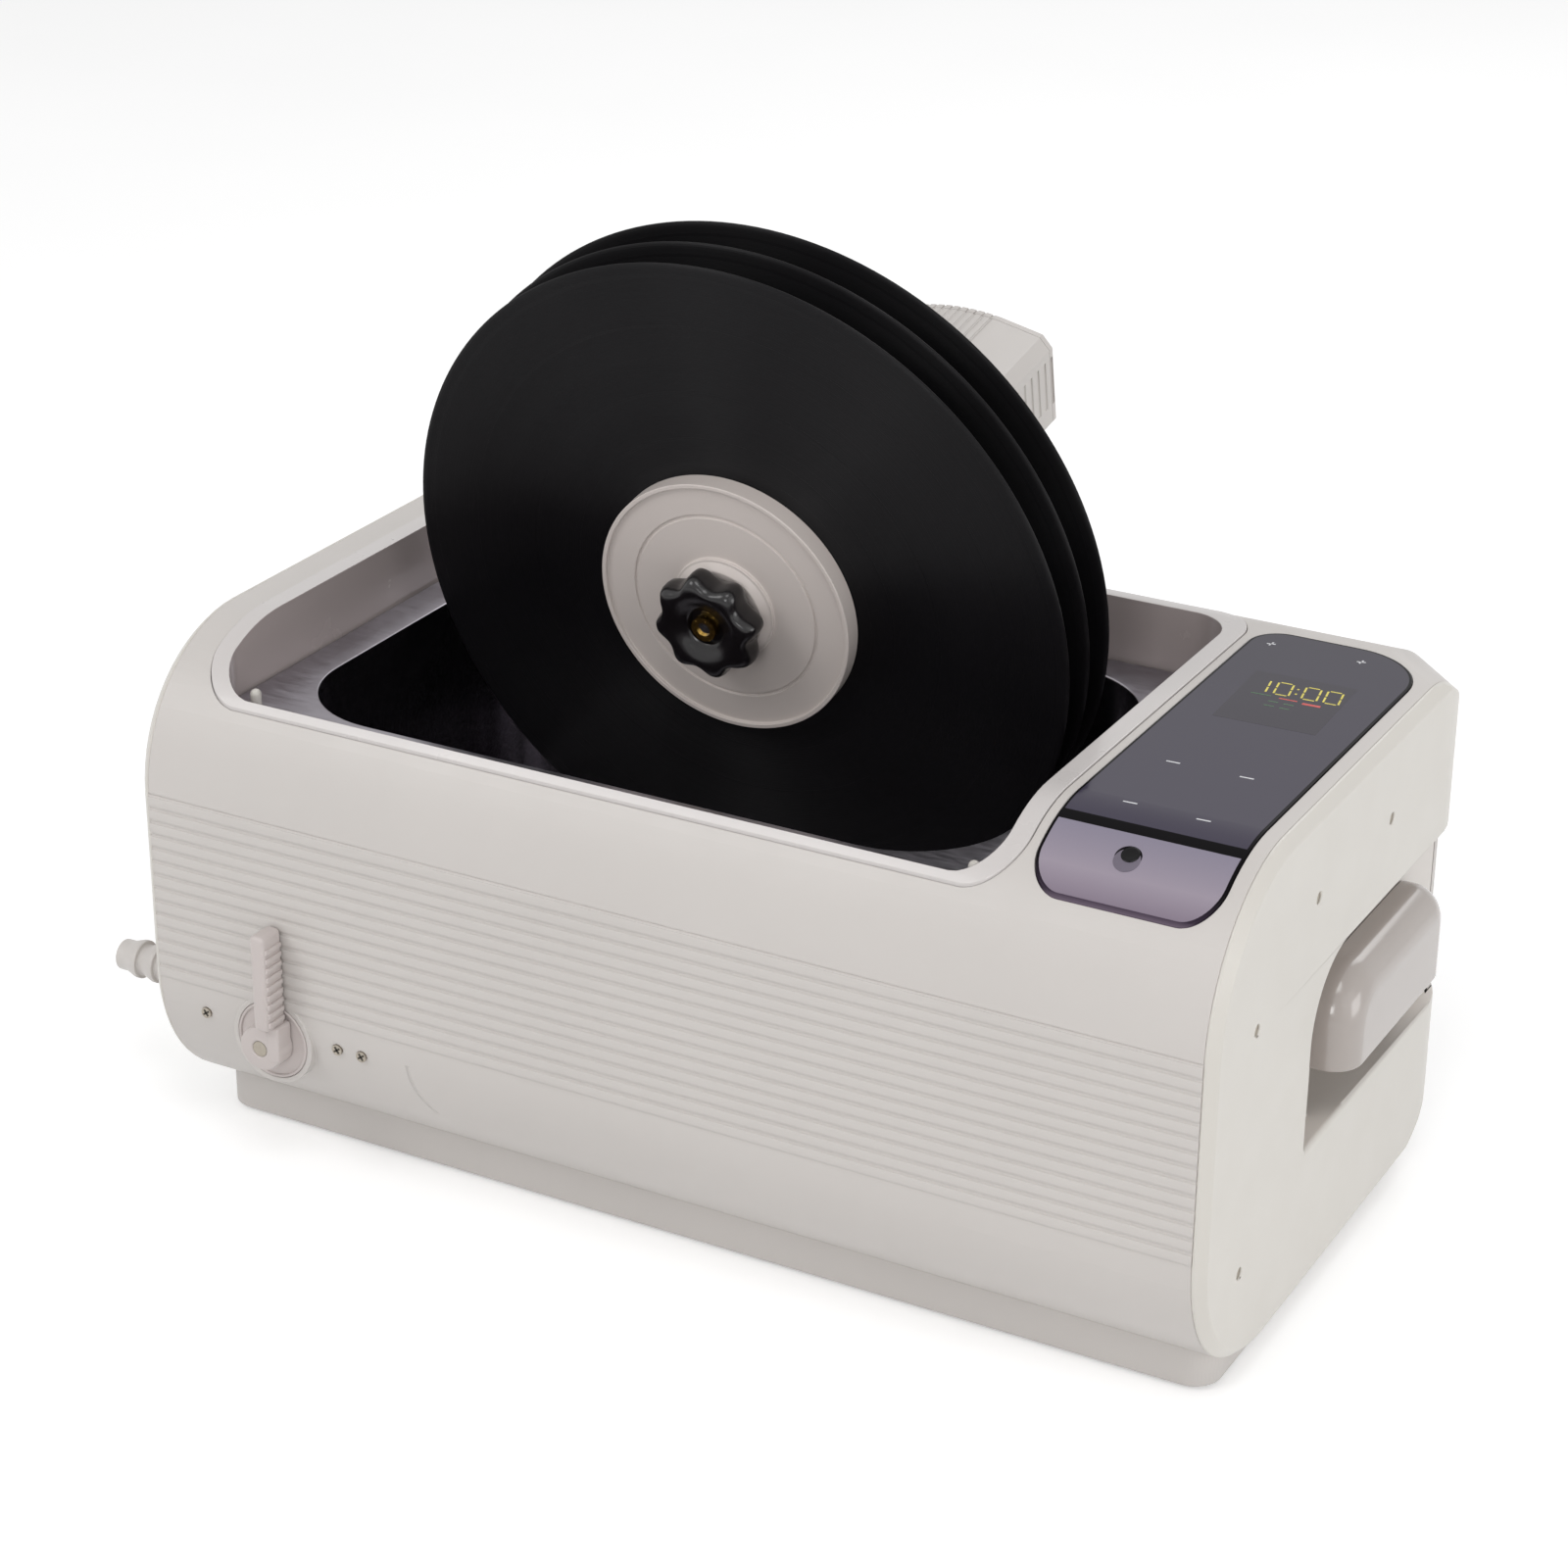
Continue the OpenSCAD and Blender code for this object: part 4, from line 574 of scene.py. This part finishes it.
def make_display():
    """Timer numerals and status bars just over the smoked glass."""
    level = PANEL_TOP + 0.00003
    thin = 0.00006
    field = bmesh.new()
    bar(field, (0.1905, 0.0405, level - 0.00002), (0.0425, 0.051, thin / 2), math.radians(2))
    piece(field, "display_field", "machine", "display", SMOKE)
    width, height, stroke = 0.0062, 0.0122, 0.0008
    across, up = Vector((0.9985, 0.05, 0)), Vector((-0.17, 0.985, 0))
    digits = bmesh.new()
    for column, numeral in zip((0.1735, 0.1830, 0.1945, 0.2035), "1000"):
        for name in NUMERALS[numeral]:
            share_x, share_y, flat = SEGMENTS[name]
            start = Vector((column, 0.0455 + (column - 0.1735) * 0.055, level))
            middle = start + across * (share_x * width) + up * (share_y * height)
            size = (width - 0.0016, stroke, thin) if flat else (stroke, height / 2 - 0.0011, thin)
            bar(digits, middle, size, math.radians(3 if flat else 9.8))
    for share in (0.3, 0.7):
        bar(digits, Vector((0.1917, 0.0463, level)) + up * (share * height), (0.0009, 0.0011, thin))
    piece(digits, "display_digits", "machine", "display", DIGITS)
    greens = bmesh.new()
    for x, y, long in ((0.1790, 0.0432, 0.0085), (0.1860, 0.0385, 0.0042), (0.1925, 0.0385, 0.0042),
                       (0.1860, 0.0340, 0.0042), (0.1925, 0.0340, 0.0042)):
        bar(greens, (x, y, level), (long, 0.0006, thin), math.radians(3))
    piece(greens, "display_green_bars", "machine", "display", BAR_GREEN)
    reds = bmesh.new()
    bar(reds, (0.1905, 0.0430, level), (0.0075, 0.0008, thin), math.radians(3))
    bar(reds, (0.2005, 0.0424, level), (0.0075, 0.0016, thin), math.radians(3))
    piece(reds, "display_red_bars", "machine", "display", BAR_RED)
    marks = bmesh.new()
    for x, y in ((0.1630, 0.0938), (0.2020, 0.0938)):
        for turn in (0.2, 1.4):
            bar(marks, (x, y, level), (0.0036, 0.0007, thin), turn)
    for x, y in ((0.1747, -0.0345), (0.2046, -0.0341), (0.1752, -0.0759), (0.2050, -0.0767)):
        drop = BEND_RADIUS - math.sqrt(BEND_RADIUS ** 2 - min(0.0, y - BEND_Y) ** 2)
        bar(marks, (x, y, level - drop), (0.0056, 0.0008, thin), 0.05)
    piece(marks, "panel_marks", "machine", "smoked_glass", MARK)


def onto_bend(bm, x, angle):
    """Lays a piece that was made on the upright axis onto the panel's front curve."""
    turn = Matrix.Rotation(angle, 4, "X")
    place = Vector((x, BEND_Y - BEND_RADIUS * math.sin(angle), BEND_Z + BEND_RADIUS * math.cos(angle)))
    bmesh.ops.transform(bm, matrix=Matrix.Translation(place) @ turn, verts=bm.verts)
    return bm


def make_sensor():
    """Small black receiver in the window, and the grey well that shows under it."""
    eye = lathe(((0, -0.0006), (0.0036, -0.0006), (0.0036, 0.00022), (0.0033, 0.0004), (0.0027, 0.00042),
                 (0.0021, 0.0003), (0, 0.00025)), 48)
    eye = piece(onto_bend(eye, 0.1878, math.radians(27.0)), "sensor_eye", "machine", "sensor", SENSOR)
    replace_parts(eye, "status_sensor")
    well = lathe(((0, -0.0004), (0.0052, -0.0004), (0.0052, 0.00004), (0.0050, 0.0001), (0, 0.00018)), 48)
    piece(onto_bend(well, 0.1874, math.radians(29.3)), "sensor_well", "machine", "sensor", RING)


# Drain


def make_lever():
    """Drain lever: a thick hub with a cheek on one side, and a blade that stands out in front of it."""
    hub_front = 0.010
    bm = lathe(((0, 0.0005), (0.0100, 0.0005), (0.0100, hub_front - 0.0016), (0.0095, hub_front - 0.0004),
                (0.0084, hub_front), (0.0041, hub_front), (0.0036, hub_front - 0.0004),
                (0.0036, hub_front - 0.0019), (0, hub_front - 0.0019)), 64)
    onto_front(bm, VALVE.x, VALVE.z, FRONT)
    cheek = bar(bm, VALVE + Vector((0.0069, -0.00535, 0.0035)), (0.0060, 0.0097, 0.0165))
    blade = bar(bm, VALVE + Vector((0.0045, -0.0080, 0.0320)), (0.0072, 0.0130, 0.0460))
    for v in blade:
        if v.co.z < VALVE.z + 0.02 and v.co.y < VALVE.y - 0.01:
            v.co.z += 0.0022
    for verts, width in ((cheek, 0.0012), (blade, 0.0022)):
        edges = {e for v in verts for e in v.link_edges}
        bmesh.ops.bevel(bm, geom=list(edges), offset=width, offset_type="OFFSET", segments=5, profile=0.5,
                        affect="EDGES", material=-1)
    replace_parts(piece(bm, "drain_lever_shaped", "drain_lever", "lever", LEVER), "valve_lever")


def make_drain():
    make_lever()
    # Dark flat crosses laid on the screw heads: painted shade for their slots.
    slots = bmesh.new()
    for across in SCREWS_ACROSS:
        for turn in (0.6, 0.6 + math.pi / 2):
            verts = bar(slots, (0, 0, 0), (0.0034, 0.0008, 0.0002), turn)
            place = Matrix.Translation(VALVE + Vector((across, 0.00005, SCREWS_UP)))
            bmesh.ops.transform(slots, matrix=place @ Matrix.Rotation(math.pi / 2, 4, "X"), verts=verts)
    piece(slots, "front_screw_slot_shade", "machine", "screw_steel", SLOT_SHADE)
    blade = VALVE + Vector((0.0045 + 0.0036, 0, 0))
    ridges = bmesh.new()
    for number in range(9):
        place = blade + Vector((0.0002, -0.0082, 0.0145 + number * 0.0042))
        bar(ridges, place, (0.0014, 0.0105, 0.0024))
    bmesh.ops.bevel(ridges, geom=ridges.edges[:], offset=0.0005, offset_type="OFFSET", segments=2,
                    profile=0.5, affect="EDGES", material=-1)
    piece(ridges, "lever_ridges", "drain_lever", "lever", LEVER)
    softened("valve_escutcheon", "machine", "cap", LEVER, 0.0003, 2)
    rim = lathe(((0.0158, 0), (0.0158, 0.0005), (0.0161, 0.0008), (0.0167, 0.0008), (0.0171, 0.0004),
                 (0.0171, 0), (0.0158, 0)))
    piece(onto_front(rim, VALVE.x, VALVE.z, FRONT - 0.0001), "escutcheon_rim", "machine", "cap", LEVER)
    softened("hose_barb", "machine", "pipe", PIPE, 0.0004, 2)


# Records and their clamp


def record_profile():
    """Half of a record's section: hole, label land, grooves a little lower, thick round bead."""
    top = [(0.00362, 0.0008), (0.0039, 0.0009), (0.0500, 0.0009), (0.0510, 0.0008), (0.0585, 0.00078),
           (0.0595, 0.00066), (0.1462, 0.00066), (0.1478, 0.0008), (0.1492, 0.0009), (0.1502, 0.00075),
           (0.15065, 0.0004), (0.1508, 0.0)]
    return top + [(radius, -height) for radius, height in reversed(top[:-1])] + [top[0]]


def make_records():
    for number in range(3):
        record = onto_spindle(lathe(record_profile(), 180), RECORD_PITCH * number)
        name = "record_%d" % (number + 1)
        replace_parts(piece(record, name + "_pressed", "record_stack", "vinyl", VINYL, sharp=40), name)
    for number in range(1, 7):
        softened("label_disc_%d" % number, "record_stack", "disc", DISC, 0.0004, 3)


def make_knob():
    """Eight-lobed hand knob: swelling lobes, a round dish in front and a collar behind."""
    bm = bmesh.new()
    count = 8 * 20
    ring = bmesh.ops.create_circle(bm, cap_ends=False, radius=0.018, segments=count)["verts"]
    turns = {v: math.atan2(v.co.y, v.co.x) for v in ring}

    def lobed(angle, radius, depth):
        """Radius of the outline at an angle: rounded points with scallops between them."""
        wave = 0.5 + 0.5 * math.cos(8 * (angle - 0.15))
        return radius - depth * (1 - wave ** 1.15)

    def set_ring(verts, turns, radius, depth, height):
        for v in verts:
            angle = turns[v]
            reach = lobed(angle, radius, depth)
            v.co = Vector((reach * math.cos(angle), reach * math.sin(angle), height))

    rings = ((0.0150, 0.0, 0.0000), (0.0150, 0.0, 0.0022), (0.0196, 0.0016, 0.0022), (0.0222, 0.0030, 0.0030),
             (0.0236, 0.0036, 0.0048), (0.0240, 0.0038, 0.0076), (0.0239, 0.0038, 0.0106),
             (0.0232, 0.0036, 0.0132), (0.0218, 0.0030, 0.0150), (0.0198, 0.0020, 0.0159),
             (0.0172, 0.0008, 0.0160), (0.0142, 0.0, 0.0153), (0.0116, 0.0, 0.0138), (0.0095, 0.0, 0.0126),
             (0.0082, 0.0, 0.0122), (0.0080, 0.0, 0.0118), (0.0078, 0.0, 0.0100), (0.0056, 0.0, 0.0099),
             (0.0056, 0.0, 0.0))
    set_ring(ring, turns, *rings[0])
    first = ring
    for radius, depth, height in rings[1:]:
        edges = list({e for v in ring for e in v.link_edges if all(o in turns for o in e.verts)})
        made = bmesh.ops.extrude_edge_only(bm, edges=edges)["geom"]
        fresh = [g for g in made if isinstance(g, bmesh.types.BMVert)]
        turns = {v: math.atan2(v.co.y, v.co.x) for v in fresh}
        set_ring(fresh, turns, radius, depth, height)
        ring = fresh
    ends = [e for e in bm.edges if e.is_boundary]
    bmesh.ops.bridge_loops(bm, edges=ends)
    bmesh.ops.recalc_face_normals(bm, faces=bm.faces)
    knob_start = -0.0009 - 0.0086 - 0.0026 - 0.0004
    onto_spindle(bm, knob_start)
    knob = piece(bm, "clamp_knob_lobed", "knob", "knob", KNOB, sharp=50)
    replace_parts(knob, "clamp_knob")


# Drive head and the rear


def make_drive_head():
    softened("drive_housing", "drive_head", "housing", HOUSING, 0.00035, 2)
    softened("tilt_bracket", "machine", "bracket_steel", COATED, 0.0005, 2)


# Floor, lights and camera


def make_floor():
    bm = bmesh.new()
    bmesh.ops.create_grid(bm, x_segments=1, y_segments=1, size=7)
    mesh = bpy.data.meshes.new("floor")
    bm.to_mesh(mesh)
    bm.free()
    floor = bpy.data.objects.new("floor", mesh)
    bpy.context.scene.collection.objects.link(floor)
    f = Finish("floor_paper")
    f.colour(f.blend(f.noise(3, 2), (0.86, 0.86, 0.86, 1), (0.88, 0.88, 0.88, 1)))
    f.set(Roughness=0.95, Specular_IOR_Level=0.0)
    rays = f.node("ShaderNodeLightPath").outputs
    seen = f.math("MAXIMUM", f.math("MAXIMUM", rays["Is Camera Ray"], rays["Is Glossy Ray"]),
                  rays["Is Transmission Ray"])
    f.set(Emission_Color=(1, 1, 1, 1))
    f.link(f.math("MULTIPLY", seen, FLOOR_LIFT), f.shader.inputs["Emission Strength"])
    mesh.materials.append(f.material)


def light_world(strength):
    world = bpy.data.worlds.new("studio")
    world.use_nodes = True
    tree = world.node_tree
    back = tree.nodes["Background"]
    rays = tree.nodes.new("ShaderNodeLightPath").outputs
    seen = tree.nodes.new("ShaderNodeMath")
    seen.operation = "MAXIMUM"
    tree.links.new(rays["Is Camera Ray"], seen.inputs[0])
    more = tree.nodes.new("ShaderNodeMath")
    more.operation = "MAXIMUM"
    tree.links.new(rays["Is Glossy Ray"], more.inputs[0])
    tree.links.new(rays["Is Transmission Ray"], more.inputs[1])
    tree.links.new(more.outputs[0], seen.inputs[1])
    level = tree.nodes.new("ShaderNodeMapRange")
    level.inputs["To Min"].default_value = strength
    level.inputs["To Max"].default_value = 1.0
    tree.links.new(seen.outputs[0], level.inputs["Value"])
    tree.links.new(level.outputs[0], back.inputs["Strength"])
    back.inputs["Color"].default_value = (1, 1, 1, 1)
    bpy.context.scene.world = world


LAMPS = (  # name, place, size, power
    ("key", (-1.3, -1.7, 1.9), 1.1, 15),
    ("top", (0.5, -0.9, 2.0), 0.7, 6),
    ("front", (0.5, -1.75, 0.75), 0.45, 4.5),
    ("side", (1.9, -0.7, 0.9), 1.4, 3.4),
    ("low_side", (1.8, 0.0, 0.28), 0.8, 6),
    ("back", (0.2, 1.8, 1.8), 1.2, 9),
)


def area_light(name, place, size, power):
    lamp = bpy.data.lights.new(name, "AREA")
    lamp.size = size
    lamp.energy = power
    obj = bpy.data.objects.new(name, lamp)
    obj.location = place
    obj.rotation_euler = (Vector((0, 0, 0.12)) - Vector(place)).to_track_quat("-Z", "Y").to_euler()
    bpy.context.scene.collection.objects.link(obj)


def place_camera():
    camera = bpy.data.cameras.new("camera")
    camera.lens = 85.96
    camera.sensor_width = 36
    obj = bpy.data.objects.new("camera", camera)
    yaw, pitch, roll = math.radians(-28.48), math.radians(24.65), math.radians(-0.46)
    turn = (Matrix.Rotation(-yaw, 3, "Z") @ Matrix.Rotation(math.pi / 2 - pitch, 3, "X")
            @ Matrix.Rotation(-roll, 3, "Z"))
    obj.matrix_world = Matrix.Translation((0.66335, -1.24529, 0.81236)) @ turn.to_4x4()
    bpy.context.scene.collection.objects.link(obj)
    bpy.context.scene.camera = obj


make_body()
make_tank()
make_grip("right_grip", 1)
make_grip("left_grip", -1)
make_panel()
make_display()
make_sensor()
make_drain()
make_records()
make_knob()
make_drive_head()
make_floor()
light_world(0.54)
for lamp in LAMPS:
    area_light(*lamp)
place_camera()
bpy.context.scene.view_settings.view_transform = "Standard"
